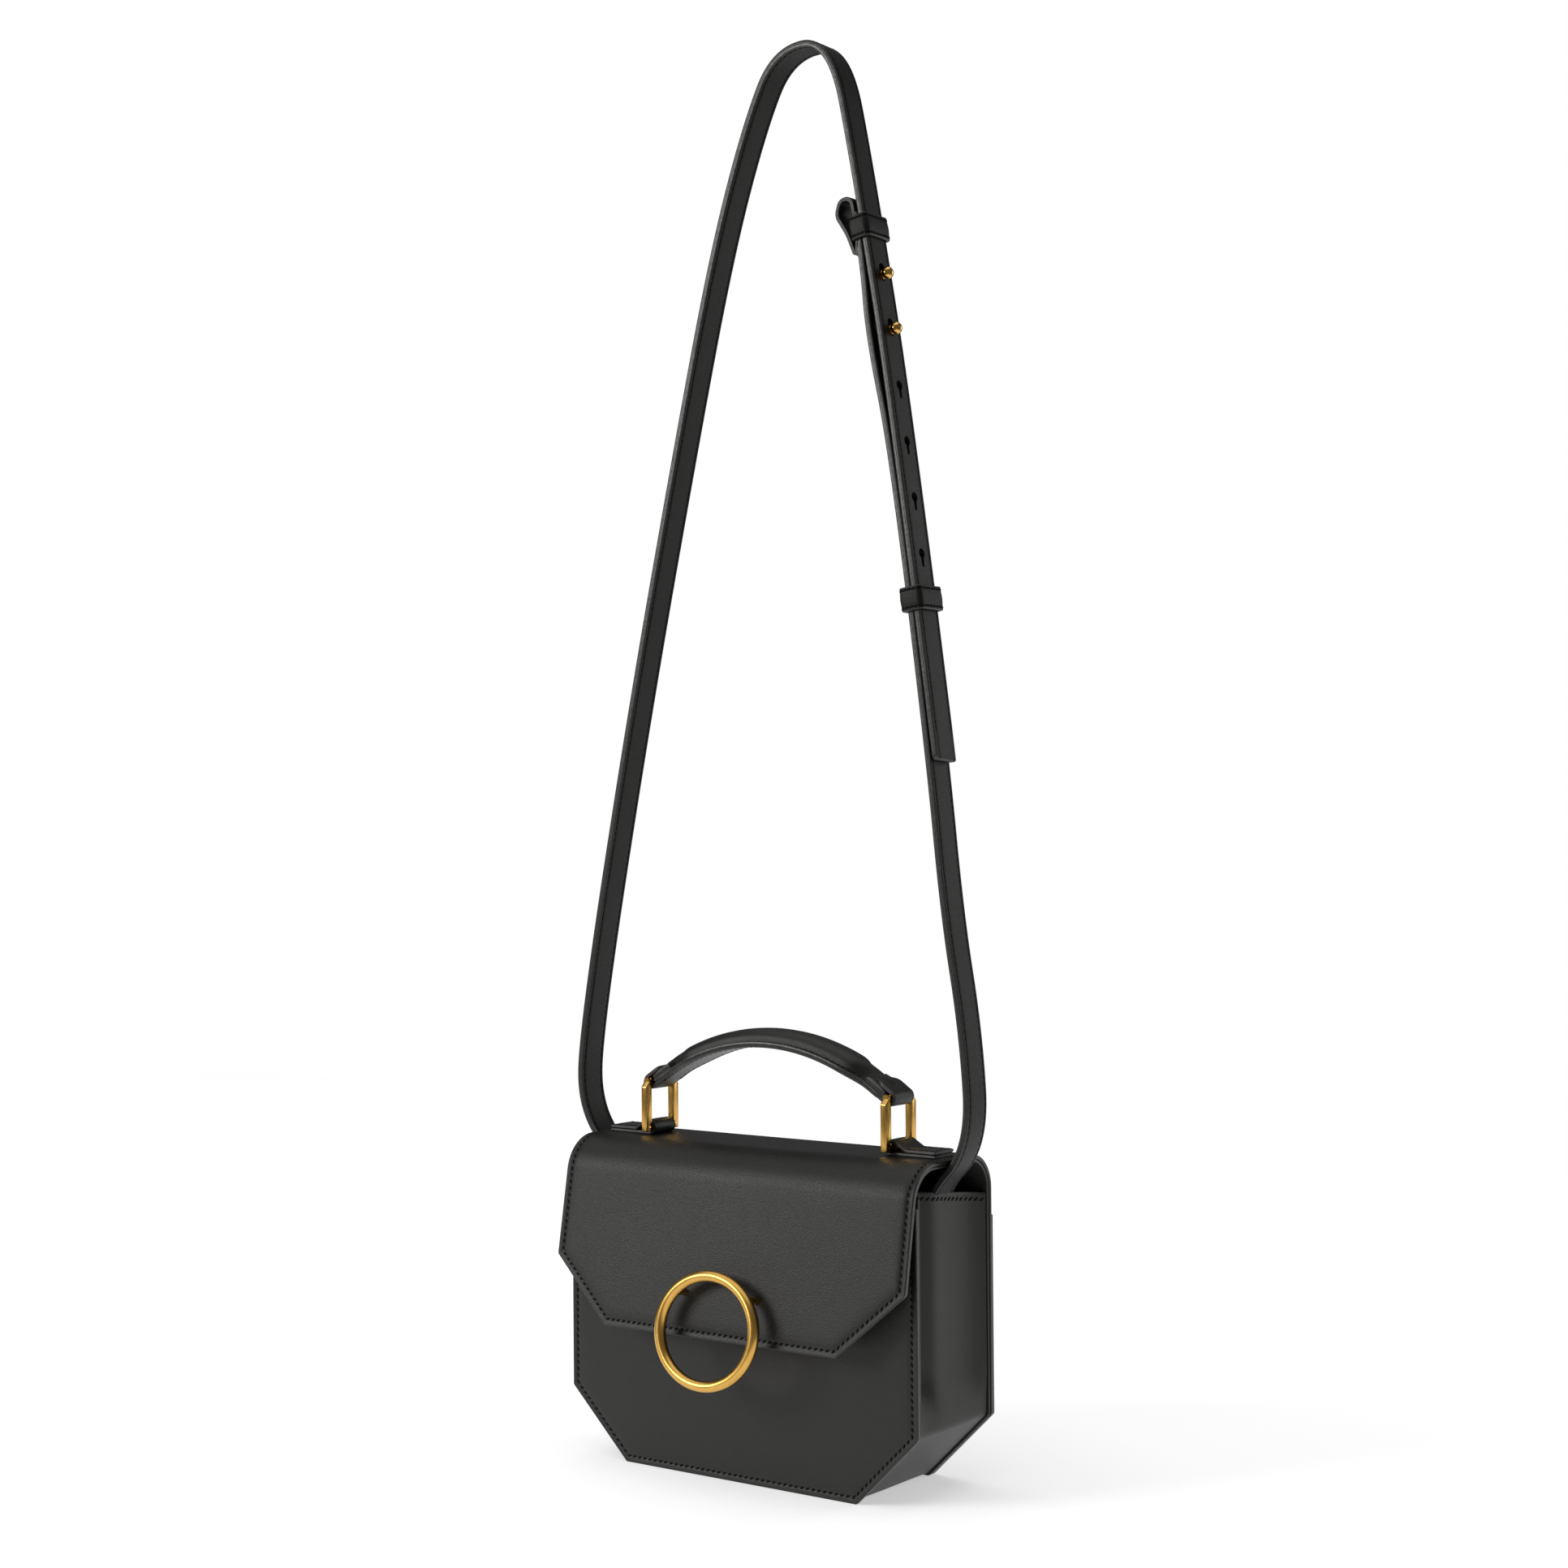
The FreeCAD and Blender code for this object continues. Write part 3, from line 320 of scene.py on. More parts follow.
class Pattern:
    """Flat cutting pattern: straight sides, either end whole or with its two corners cut off."""

    def __init__(self, side, length, start=None, end=None, sewn_start=True, sewn_end=True):
        self.side, self.length = side, length
        self.cuts = []
        for cut, at_start in ((start, True), (end, False)):
            if cut:
                lip, run = cut
                self.cuts.append((lip, run, math.hypot(side - lip, run), at_start))
        self.sewn_start, self.sewn_end = sewn_start, sewn_end

    def from_end(self, v, at_start):
        return v if at_start else self.length - v

    def half(self, v, inset):
        """Half width at v of the pattern drawn in by inset."""
        width = self.side - inset
        for lip, run, slant, at_start in self.cuts:
            edge = lip + self.from_end(v, at_start) * (self.side - lip) / run - inset * slant / run
            width = soft_min(width, edge)
        for at_start in (True, False):
            gap = self.from_end(v, at_start)
            if gap < 1.2:
                width -= 0.5 * (1.2 - math.sqrt(max(1.44 - (1.2 - gap) ** 2, 0)))
        return width

    def edge(self, u, v, sewn=False):
        """Distance of a flat point from the nearest edge, or from the nearest sewn edge."""
        gaps = [self.side - abs(u)]
        for lip, run, slant, at_start in self.cuts:
            over = lip + self.from_end(v, at_start) * (self.side - lip) / run - abs(u)
            gaps.append(over * run / slant)
        if not sewn or self.sewn_start:
            gaps.append(v)
        if not sewn or self.sewn_end:
            gaps.append(self.length - v)
        return max(min(gaps), 0.0)

    def rows(self, bends=(), pace=6.0):
        """Stations along the piece: close at its ends, at its cut corners and round its bends."""
        marks = set(EDGE_STEPS) | {self.length - step for step in EDGE_STEPS}
        for lip, run, slant, at_start in self.cuts:
            corner = run if at_start else self.length - run
            marks |= {corner + way * step for step in (0.3, 0.9, 1.6, 2.4, 3.5, 5) for way in (-1, 1)}
        for low, high, count in bends:
            marks |= {low + (high - low) * k / count for k in range(count + 1)}
        kept = []
        for mark in sorted(m for m in marks if 0 <= m <= self.length):
            if kept and mark - kept[-1] < 0.06:
                continue
            if kept and mark - kept[-1] > pace:
                extra = int((mark - kept[-1]) / pace)
                first = kept[-1]
                kept += [first + (mark - first) * k / (extra + 1) for k in range(1, extra + 1)]
            kept.append(mark)
        kept[-1] = self.length
        return kept


def edge_round(gap, radius):
    """How far a face has dropped at this distance from its rounded edge."""
    if gap >= radius:
        return 0.0
    return radius - math.sqrt(radius ** 2 - (radius - gap) ** 2)


def sewn_leather(name, pattern, place, ply, finishes, rows, groove=0.3, crown=0.35, belly=None):
    """Ply cut to a pattern, with rounded painted edges, a pulled-down stitch line and a soft crown."""
    middle = 10  # stations across between the two edges
    points, rims, grid_top, grid_low = [], [], [], []
    radius = min(0.5, 0.33 * ply)
    for v in rows:
        last = pattern.half(v, EDGE_STEPS[-1])
        us = [-pattern.half(v, step) for step in EDGE_STEPS]
        us += [last * (2 * k / middle - 1) for k in range(1, middle)]
        us += [pattern.half(v, step) for step in reversed(EDGE_STEPS)]
        top_row, low_row = [], []
        for u in us:
            gap = pattern.edge(u, v)
            seam = pattern.edge(u, v, sewn=True)
            drop = edge_round(gap, radius)
            off = seam - SEAM
            rise = -groove * (0.55 * math.exp(-(off / 0.5) ** 2) + math.exp(-(off / 1.3) ** 2))
            rise += crown * (1 - math.exp(-max(seam - SEAM, 0) / 7))
            if belly:
                rise += belly(u, v)
            top_row.append(len(points))
            points.append(place(u, v, ply - drop + rise))
            rims.append(max(0.0, 1 - gap / 0.9))
            low_row.append(len(points))
            points.append(place(u, v, min(drop, 0.3 * ply) + (belly(u, v) if belly else 0)))
            rims.append(max(0.0, 1 - gap / 0.9))
        grid_top.append(top_row)
        grid_low.append(low_row)
    faces, kinds = [], []
    wide = len(grid_top[0])
    for r in range(len(rows) - 1):
        for c in range(wide - 1):
            painted = 1 if c == 0 or c == wide - 2 or r == 0 or r == len(rows) - 2 else 0
            faces.append((grid_top[r][c], grid_top[r][c + 1], grid_top[r + 1][c + 1], grid_top[r + 1][c]))
            faces.append((grid_low[r][c], grid_low[r + 1][c], grid_low[r + 1][c + 1], grid_low[r][c + 1]))
            kinds += [painted, painted]
    border = [(0, c) for c in range(wide)] + [(r, wide - 1) for r in range(1, len(rows))]
    border += [(len(rows) - 1, c) for c in range(wide - 2, -1, -1)]
    border += [(r, 0) for r in range(len(rows) - 2, 0, -1)]
    for (r0, c0), (r1, c1) in zip(border, border[1:] + border[:1]):
        faces.append((grid_top[r0][c0], grid_low[r0][c0], grid_low[r1][c1], grid_top[r1][c1]))
        kinds.append(1)
    return make_piece(name, points, faces, finishes, kinds, rims)


def seam_line(pattern, place, height, first, last, inset=SEAM, across_start=False, across_end=True):
    """Stitch line inside the pattern's edge, as points with their outward direction."""
    steps = [first + (last - first) * k / 160 for k in range(161)]
    flat = [(-pattern.half(v, inset), v) for v in steps]
    far = pattern.half(last, inset)
    if across_end:
        flat += [(-far + 2 * far * k / 60, last) for k in range(1, 60)]
        flat += [(-u, v) for u, v in reversed(flat[:161])]
        runs = [flat]
    else:
        runs = [flat, [(-u, v) for u, v in flat]]
    if across_start:
        near = pattern.half(first, inset)
        runs.append([(-near + 2 * near * k / 60, first) for k in range(61)])
    lines = []
    for run in runs:
        line = []
        for u, v in run:
            spot = place(u, v, height)
            line.append((spot, (place(u, v, height + 1) - spot).normalized()))
        lines.append(line)
    return lines


# ------------------------------------------------------------------ stitches, set out by geometry nodes
def make_stitch_tree():
    """Slanted stitches set out along a line at an even pitch."""
    tree = bpy.data.node_groups.new("saddle_stitches", "GeometryNodeTree")
    face = tree.interface
    face.new_socket("Geometry", in_out="INPUT", socket_type="NodeSocketGeometry")
    for label in ("Pitch", "Stitch Length", "Thread Radius", "Height", "Slant"):
        face.new_socket(label, in_out="INPUT", socket_type="NodeSocketFloat")
    face.new_socket("Thread", in_out="INPUT", socket_type="NodeSocketMaterial")
    face.new_socket("Geometry", in_out="OUTPUT", socket_type="NodeSocketGeometry")
    make, link = tree.nodes.new, tree.links.new
    given, out = make("NodeGroupInput"), make("NodeGroupOutput")
    to_curve = make("GeometryNodeMeshToCurve")
    spaced = make("GeometryNodeResampleCurve")
    spaced.mode = "LENGTH"
    link(given.outputs["Geometry"], to_curve.inputs["Mesh"])
    link(to_curve.outputs[0], spaced.inputs["Curve"])
    link(given.outputs["Pitch"], spaced.inputs["Length"])
    bead = make("GeometryNodeMeshUVSphere")
    bead.inputs["Segments"].default_value = 8
    bead.inputs["Rings"].default_value = 6
    bead.inputs["Radius"].default_value = 1.0
    along = make("FunctionNodeAlignRotationToVector")
    along.axis = "X"
    link(make("GeometryNodeInputTangent").outputs[0], along.inputs["Vector"])
    upright = make("FunctionNodeAlignRotationToVector")
    upright.axis = "Z"
    upright.pivot_axis = "X"
    out_of_face = make("GeometryNodeInputNamedAttribute")
    out_of_face.data_type = "FLOAT_VECTOR"
    out_of_face.inputs["Name"].default_value = "outward"
    link(along.outputs[0], upright.inputs["Rotation"])
    link(out_of_face.outputs["Attribute"], upright.inputs["Vector"])
    wander = make("FunctionNodeRandomValue")
    wander.data_type = "FLOAT"
    wander.inputs["Seed"].default_value = 7
    low, high = [s for s in wander.inputs if s.name in ("Min", "Max") and s.type == "VALUE"][:2]
    low.default_value, high.default_value = -0.07, 0.07
    turn = make("ShaderNodeMath")
    link(given.outputs["Slant"], turn.inputs[0])
    link([s for s in wander.outputs if s.type == "VALUE"][0], turn.inputs[1])
    angles = make("ShaderNodeCombineXYZ")
    link(turn.outputs[0], angles.inputs["Z"])
    as_rotation = make("FunctionNodeEulerToRotation")
    link(angles.outputs[0], as_rotation.inputs[0])
    slanted = make("FunctionNodeRotateRotation")
    slanted.rotation_space = "LOCAL"
    link(upright.outputs[0], slanted.inputs[0])
    link(as_rotation.outputs[0], slanted.inputs[1])
    half = make("ShaderNodeMath")
    half.operation = "MULTIPLY"
    half.inputs[1].default_value = 0.5
    link(given.outputs["Stitch Length"], half.inputs[0])
    size = make("ShaderNodeCombineXYZ")
    link(half.outputs[0], size.inputs["X"])
    link(given.outputs["Thread Radius"], size.inputs["Y"])
    link(given.outputs["Height"], size.inputs["Z"])
    set_out = make("GeometryNodeInstanceOnPoints")
    link(spaced.outputs[0], set_out.inputs["Points"])
    link(bead.outputs["Mesh"], set_out.inputs["Instance"])
    link(slanted.outputs[0], set_out.inputs["Rotation"])
    link(size.outputs[0], set_out.inputs["Scale"])
    real = make("GeometryNodeRealizeInstances")
    smooth = make("GeometryNodeSetShadeSmooth")
    waxed = make("GeometryNodeSetMaterial")
    link(set_out.outputs[0], real.inputs[0])
    link(real.outputs[0], smooth.inputs["Geometry"])
    link(smooth.outputs[0], waxed.inputs["Geometry"])
    link(given.outputs["Thread"], waxed.inputs["Material"])
    link(waxed.outputs[0], out.inputs[0])
    return tree


STITCH_TREE = make_stitch_tree()


def solve_nodes(name, mesh, tree, **inputs):
    """Plain mesh of what a geometry-node tree makes from a mesh."""
    carrier = bpy.data.objects.new(name + "_lines", mesh)
    bpy.context.scene.collection.objects.link(carrier)
    modifier = carrier.modifiers.new("rule", "NODES")
    modifier.node_group = tree
    sockets = {s.name: s.identifier for s in tree.interface.items_tree if s.in_out == "INPUT"}
    for label, value in inputs.items():
        modifier[sockets[label.replace("_", " ")]] = value
    depsgraph = bpy.context.evaluated_depsgraph_get()
    made = bpy.data.meshes.new_from_object(carrier.evaluated_get(depsgraph))
    bpy.data.objects.remove(carrier)
    made.name = name
    obj = bpy.data.objects.new(name, made)
    bpy.context.scene.collection.objects.link(obj)
    return obj


def lines_mesh(name, lines):
    """Wire mesh of lines of (point, outward direction), with the directions as an attribute."""
    mesh = bpy.data.meshes.new(name)
    points, edges, outward = [], [], []
    for line in lines:
        first = len(points)
        points += [tuple(p) for p, _ in line]
        outward += [c for _, up in line for c in up]
        edges += [(first + k, first + k + 1) for k in range(len(line) - 1)]
    mesh.from_pydata(points, edges, [])
    mesh.attributes.new("outward", "FLOAT_VECTOR", "POINT").data.foreach_set("vector", outward)
    return mesh


def sew(name, lines, pitch=PITCH, length=2.4, radius=0.26, slant=0.66, shade_radius=0.58):
    """A body's stitches along lines, each lying where its thread pulls into the leather, over a flat
    near-black disc that is painted shade of that pit.
    """
    thread = solve_nodes(name, lines_mesh(name + "_run", lines), STITCH_TREE, Pitch=pitch / 1000,
                         Stitch_Length=length / 1000, Thread_Radius=radius / 1000, Height=radius / 1000,
                         Slant=slant, Thread=THREAD)
    # flat near-black discs a little longer than each stitch: painted shade in its pit
    pits = solve_nodes(name + "_painted_pit_shades", lines_mesh(name + "_pits", lines), STITCH_TREE, Pitch=pitch / 1000,
                       Stitch_Length=(length + 0.4) / 1000, Thread_Radius=shade_radius / 1000, Height=0.00015,
                       Slant=slant, Thread=PIT_SHADE)
    with bpy.context.temp_override(active_object=thread, selected_editable_objects=[thread, pits]):
        bpy.ops.object.join()
    return thread


# ------------------------------------------------------------------ walls
def front_place(u, v, h):
    return at(u, -BACK_FACE + PANEL_PLY - h, PANEL_TOP - v)


def front_lining_place(u, v, h):
    return at(u, -BACK_FACE + PANEL_PLY + LINING_PLY - h, PANEL_TOP - v)


def pocket_place(u, v, h):
    return at(u, BACK_FACE + h, POCKET_TOP - v)


bottom_cut = (BASE_SIDE, CUT_HEIGHT)
front_cut = Pattern(PANEL_SIDE, PANEL_TOP, end=bottom_cut)
front_wall = sewn_leather("front_wall", front_cut, front_place, PANEL_PLY, (CALF, EDGE), front_cut.rows())
show(front_wall, "bag", "leather_outer", "front_panel")
inner_cut = Pattern(PANEL_SIDE - 0.5, PANEL_TOP - 0.3, end=(BASE_SIDE - 0.2, CUT_HEIGHT))
show(sewn_leather("front_wall_lining", inner_cut, front_lining_place, LINING_PLY, (LINING, EDGE),
                  inner_cut.rows(), groove=0.0, crown=0.0), "bag", "leather_lining", "front_lining")
pocket_cut = Pattern(PANEL_SIDE, POCKET_TOP, end=bottom_cut)
show(sewn_leather("rear_slip_pocket", pocket_cut, pocket_place, POCKET_PLY, (CALF, EDGE), pocket_cut.rows()),
     "bag", "leather_outer", "rear_pocket")

# ------------------------------------------------------------------ back wall running over into the flap
roof_start = ROOF - BACK_ROUND
back_arc = BACK_ROUND * math.pi / 2
lean_angle = math.atan(LEAN)
face_y = -BACK_FACE - 0.3 - (FLAP_PLY + FLAP_LINING_PLY) / math.cos(lean_angle)
corner_y = face_y + (ROOF - PANEL_TOP) * LEAN
round_from = corner_y + FRONT_ROUND * math.tan((math.pi / 2 - lean_angle) / 2)
roof_run = BACK_FACE - BACK_ROUND - round_from
front_turn = math.pi / 2 - lean_angle
front_arc = FRONT_ROUND * front_turn
front_from = (round_from - FRONT_ROUND * math.cos(lean_angle),
              ROOF - FRONT_ROUND + FRONT_ROUND * math.sin(lean_angle))
marks = [roof_start, roof_start + back_arc, roof_start + back_arc + roof_run,
         roof_start + back_arc + roof_run + front_arc]
FLAP_LENGTH = marks[3] + (front_from[1] - FLAP_LIP_Z) / math.cos(lean_angle)
FLAP_CORNER = marks[3] + (front_from[1] - FLAP_CUT_Z) / math.cos(lean_angle)


def over_roof(v):
    """Outer surface of back and flap at length v from the back's lower edge, and its outward direction."""
    if v < marks[0]:
        return (BACK_FACE, v), (1.0, 0.0)
    if v < marks[1]:
        a = (v - marks[0]) / BACK_ROUND
        c, s = math.cos(a), math.sin(a)
        return (BACK_FACE - BACK_ROUND + BACK_ROUND * c, roof_start + BACK_ROUND * s), (c, s)
    if v < marks[2]:
        return (BACK_FACE - BACK_ROUND - (v - marks[1]), ROOF), (0.0, 1.0)
    if v < marks[3]:
        a = math.pi / 2 + (v - marks[2]) / FRONT_ROUND
        c, s = math.cos(a), math.sin(a)
        return (round_from + FRONT_ROUND * c, ROOF - FRONT_ROUND + FRONT_ROUND * s), (c, s)
    c, s = -math.cos(lean_angle), math.sin(lean_angle)
    down = v - marks[3]
    return (front_from[0] - down * s, front_from[1] + down * c), (c, s)


def flap_place(depth):
    """Placement of a ply whose inner face lies this deep under the flap's outer surface."""

    def place(u, v, h):
        (y, z), (ny, nz) = over_roof(v)
        return at(u, y + ny * (h - depth), z + nz * (h - depth))

    return place


def flap_belly(u, v):
    """Slight give of the roof and front face between the stiff edges."""
    span = math.cos(min(abs(u) / FLAP_SIDE, 1) * math.pi / 2)
    roof = math.exp(-(((v - (marks[1] + marks[2]) / 2) / 16) ** 2))
    return -0.5 * span * roof


flap_cut = Pattern(FLAP_SIDE, FLAP_LENGTH, start=bottom_cut, end=(BASE_SIDE, FLAP_LENGTH - FLAP_CORNER))
bends = [(marks[0] - 12, marks[1], 26), (marks[2], marks[3], 22)]
outer = sewn_leather("back_and_flap", flap_cut, flap_place(FLAP_PLY), FLAP_PLY, (CALF, EDGE),
                     flap_cut.rows(bends, 5.0), groove=0.34, crown=0.3, belly=flap_belly)
lining_cut = Pattern(FLAP_SIDE - 0.5, FLAP_LENGTH - 1.0, start=bottom_cut,
                     end=(BASE_SIDE - 0.2, FLAP_LENGTH - FLAP_CORNER - 0.4))
lining = sewn_leather("back_and_flap_lining", lining_cut, flap_place(FLAP_PLY + FLAP_LINING_PLY),
                      FLAP_LINING_PLY, (LINING, EDGE), lining_cut.rows(bends, 5.0), groove=0.0, crown=0.0,
                      belly=flap_belly)
HINGE_FROM, HINGE_TO = at(0, BACK_FACE, 122), at(0, BACK_FACE - 8, 128)
for piece, slot, nodes in ((outer, "leather_outer", ("back_panel", "flap")),
                           (lining, "leather_lining", ("back_lining", "flap_lining"))):
    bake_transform(piece)
    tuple(HINGE_FROM)
    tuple(HINGE_TO)
    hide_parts(*nodes)

flap_seam = seam_line(flap_cut, flap_place(FLAP_PLY), FLAP_PLY - FLAP_STITCH_SINK, marks[0] + 9,
                      FLAP_LENGTH - SEAM)
show(sew("flap_stitches", flap_seam), "flap_shell", "leather_outer")
walls = seam_line(front_cut, front_place, PANEL_PLY - STITCH_SINK, 2.0, PANEL_TOP - SEAM)
walls += seam_line(pocket_cut, pocket_place, POCKET_PLY - STITCH_SINK, SEAM, POCKET_TOP - SEAM,
                   across_start=True)
show(sew("wall_stitches", walls), "bag", "leather_outer")


# ------------------------------------------------------------------ gusset
def rounded_path(points, radii, pace=4.0, turn=10.0):
    """Even points along a bent line with rounded corners, each with its direction."""
    path = []

    def add(p, d):
        if not path or (Vector(path[-1][0]) - Vector(p)).length > 1e-6:
            path.append((tuple(p), tuple(d)))

    start = Vector(points[0])
    for k in range(1, len(points)):
        corner = Vector(points[k])
        ahead = (corner - Vector(points[k - 1])).normalized()
        if k < len(points) - 1:
            after = (Vector(points[k + 1]) - corner).normalized()
            bend = math.atan2(ahead.x * after.y - ahead.y * after.x, ahead.dot(after))
            back = radii.get(k, 0.0) * math.tan(abs(bend) / 2)
            stop = corner - ahead * back
        else:
            stop, bend = corner, 0.0
        count = max(1, math.ceil((stop - start).length / pace))
        for j in range(count + 1):
            add(start.lerp(stop, j / count), ahead)
        if bend:
            side = 1 if bend > 0 else -1
            centre = stop + Vector((-ahead.y, ahead.x)) * side * radii.get(k, 0.0)
            arm = stop - centre
            pieces = max(2, math.ceil(math.degrees(abs(bend)) / turn))
            for j in range(1, pieces + 1):
                spin = Matrix.Rotation(bend * j / pieces, 2)
                add(centre + spin @ arm, spin @ ahead)
            start = centre + Matrix.Rotation(bend, 2) @ arm
    return path


def inset_outline(d, top):
    """Body's side and bottom outline, drawn in by d."""
    low_x, low_z = BASE_SIDE - 0.4096 * d, d
    side_x, side_z = PANEL_SIDE - d, CUT_HEIGHT + 0.419 * d
    half = [(side_x, top), (side_x, side_z), (low_x, low_z)]
    return half + [(-x, z) for x, z in reversed(half)]


GUSSET_MID = 3.0
HEM_RISE = 6.5  # the gusset's top edge in front, above the walls'
FLUSH_SHARE, HOLLOW_FROM, HOLLOW_RUN = 0.03, 34, 20  # share of the hollow left low down, and where it grows
# section of the gusset as (y, inset): turned out in front, hollow behind that, then filling out to the back
GUSSET_CURVE = [
    (-26.2, 1.0), (-25.7, 1.05), (-25.5, 1.25), (-25.4, 2.2), (-25.4, 4.5), (-25.3, 6.2), (-24.9, 7.9),
    (-24.0, 9.1), (-22.6, 9.7), (-20.5, 9.6), (-18.0, 9.0), (-15.0, 7.8), (-12.5, 6.6), (-10.5, 5.7),
    (-8.5, 5.2), (-6.0, 4.95), (-3.0, 4.95), (0.0, 5.0), (6.0, 5.1), (12.0, 4.8), (17.0, 4.1), (20.5, 3.1),
    (23.0, 2.1), (24.8, 1.3), (25.8, 0.8), (26.2, 0.6)]


def between(curve, start, stop, step):
    """Even points along a curve given by its corners."""
    spots, y = [], start
    while y <= stop + 1e-6:
        (y0, d0), (y1, d1) = next((a, b) for a, b in zip(curve, curve[1:]) if a[0] <= y <= b[0] + 1e-6)
        spots.append((y, d0 + (d1 - d0) * (y - y0) / max(y1 - y0, 1e-6)))
        y += step
    return spots


def hem_lift(y):
    """How far the gusset's top edge stands above the wall's here: highest in front, its corner round."""
    return HEM_RISE * (27 - y) / 54 - 2.4 * (max(-21.5 - y, 0) / 4.7) ** 2


def gusset_shell(name, section, top, finish, hem_rim):
    """U-shaped strip round sides and bottom, hollow at the sides; its section is (y, inset, added depth)."""
    path = rounded_path(inset_outline(GUSSET_MID, top), {1: 2.8, 2: 2.8, 3: 2.8, 4: 2.8}, pace=5.0, turn=6.0)
    x0 = path[0][0][0]
    caps = [((way * x0, top - down), path[0][1] if way > 0 else path[-1][1], keep)
            for way in (1, -1) for down, keep in ((0, 0.45), (0.15, 0.75), (0.5, 1.0), (1.6, 1.0))]
    stations = caps[:4] + [(spot, aim, 1.0) for spot, aim in path[1:-1]] + caps[:3:-1]
    points, rims = [], []
    count = len(section)
    for k, ((x, z), (dx, dz), keep) in enumerate(stations):
        hollow = FLUSH_SHARE + (1 - FLUSH_SHARE) * ease((z - HOLLOW_FROM) / HOLLOW_RUN)
        depths = [(y, 1 + (d - 1) * hollow + add) for y, d, add in section]
        for j, (y, d) in enumerate(depths):
            twin = depths[count - 1 - j]
            y, d = [m + (v - m) * keep for v, m in ((y, (y + twin[0]) / 2), (d, (d + twin[1]) / 2))]
            out = GUSSET_MID - d
            points.append(at(x - dz * out, y, z + dx * out + hem_lift(y) * ease((z - 84) / 42)))
            rims.append(hem_rim if k < 3 or k > len(stations) - 4 else 0.0)
    faces = []
    for k in range(len(stations) - 1):
        for j in range(count):
            a, b = k * count + j, k * count + (j + 1) % count
            faces.append((a, b, b + count, a + count))
    faces.append(tuple(range(count)))
    faces.append(tuple(range((len(stations) - 1) * count, len(stations) * count)))
    return make_piece(name, points, faces, (finish,), None, rims, crease=50)


def inner_row(y, d):
    """Inner face of the gusset behind a point of its outer face."""
    if y < -25.35:
        return (-26.95, d, 0.2)
    if y < -24.5:
        return (-26.95, d, 1.2)
    if y > 25.5:
        return (26.95, d, 0.4)
    return (min(y, 26.2), d, 1.6)


outer_row = [(y, d, 0.0) for y, d in GUSSET_CURVE]
inner = [inner_row(y, d) for y, d in GUSSET_CURVE]
show(gusset_shell("gusset_shell", outer_row + inner[::-1], PANEL_TOP, CALF, 0.5), "bag", "leather_outer",
     "gusset")
liner = between(GUSSET_CURVE, -24.0, 25.5, 4.5)
liner = [(y - 1.2 if y < -20 else y, d + (2.2 if y < -20 else 1.68)) for y, d in liner]
liner_section = [(y, d, 0.0) for y, d in liner] + [(y, d, 0.8) for y, d in liner[::-1]]
show(gusset_shell("gusset_lining_shell", liner_section, PANEL_TOP - 2.0, LINING, 0.0), "bag",
     "leather_lining", "gusset_lining")
hem = []
for way in (-1, 1):
    hem.append([(at(way * (PANEL_SIDE - d + 0.02), y, PANEL_TOP + hem_lift(y) - 3.0), Vector((way, 0, 0)))
                for y, d in between(GUSSET_CURVE, -23.0, 24.5, 0.5)])
show(sew("gusset_hem_stitches", hem), "bag", "leather_outer")


# ------------------------------------------------------------------ bands: loops, tabs, strap, keepers
def band_section(half, ply, seam=1.6, groove=0.2, crown=0.08):
    """Half-round-edged section of a two-ply band: list of (across, out)."""
    t = ply / 2
    r = min(0.45, 0.4 * t + 0.1)
    face = [(half, t - r), (half - 0.13, t - 0.35 * r), (half - r, t), (half - seam + 0.45, t),
            (half - seam, t - groove), (half - seam - 0.45, t), (half - seam - 2.0, t + crown * 0.6)]
    top = face + [(0.0, t + crown)] + [(-a, b) for a, b in reversed(face)]
    under = [(a, -b) for a, b in reversed(top)]
    notch = 0.14 if ply > 2 else 0.06
    left = [(-half, 0.12), (-half + notch, 0.0), (-half, -0.12)]
    right = [(half, -0.12), (half - notch, 0.0), (half, 0.12)]
    return top + left + under + right


def band(name, path, half, ply, finishes, base=(0, 0, 0), axes=None, seam=1.6, groove=0.2, crown=0.08,
         closed=False, cut=None, spread=None):
    """Band swept along a flat path of ((a, b), (da, db)); its width lies across the path's plane."""
    e1, e2, e3 = axes or (Vector((1, 0, 0)), Vector((0, 0, 1)), Vector((0, 1, 0)))
    base = at(*base)
    section = band_section(half, ply, seam, groove, crown)
    count = len(section)
    points, rims, kinds, faces = [], [], [], []
    for k, ((a, b), (da, db)) in enumerate(path):
        share = k / (len(path) - 1)
        widen = spread(share) if spread else 1.0
        end = min(k, len(path) - 1 - k)
        slim = 1.0 if closed else {0: 0.72, 1: 0.93}.get(end, 1.0)
        for across, out in section:
            shift = cut(across) if cut and k == len(path) - 1 else 0.0
            if cut and k == len(path) - 2:
                shift = cut(across) * 0.97
            px = a - db * out * slim + da * shift
            pz = b + da * out * slim + db * shift
            points.append(base + (e1 * px + e2 * pz + e3 * across * widen) / 1000)
            rims.append(max(0.0, 1 - (half - abs(across)) / 0.8))
    loops = len(path) if closed else len(path) - 1
    for k in range(loops):
        for j in range(count):
            a, b = k * count + j, k * count + (j + 1) % count
            c, d = (b + count) % len(points), (a + count) % len(points)
            faces.append((a, b, c, d))
            edge = min(abs(section[j][0]), abs(section[(j + 1) % count][0])) > half - 0.5
            tip = not closed and (k == 0 or k == loops - 1)
            kinds.append(1 if edge or tip else 0)
    if not closed:
        faces += [tuple(range(count)), tuple(range(len(points) - count, len(points)))]
        kinds += [1, 1]
    return make_piece(name, points, faces, finishes, kinds, rims)


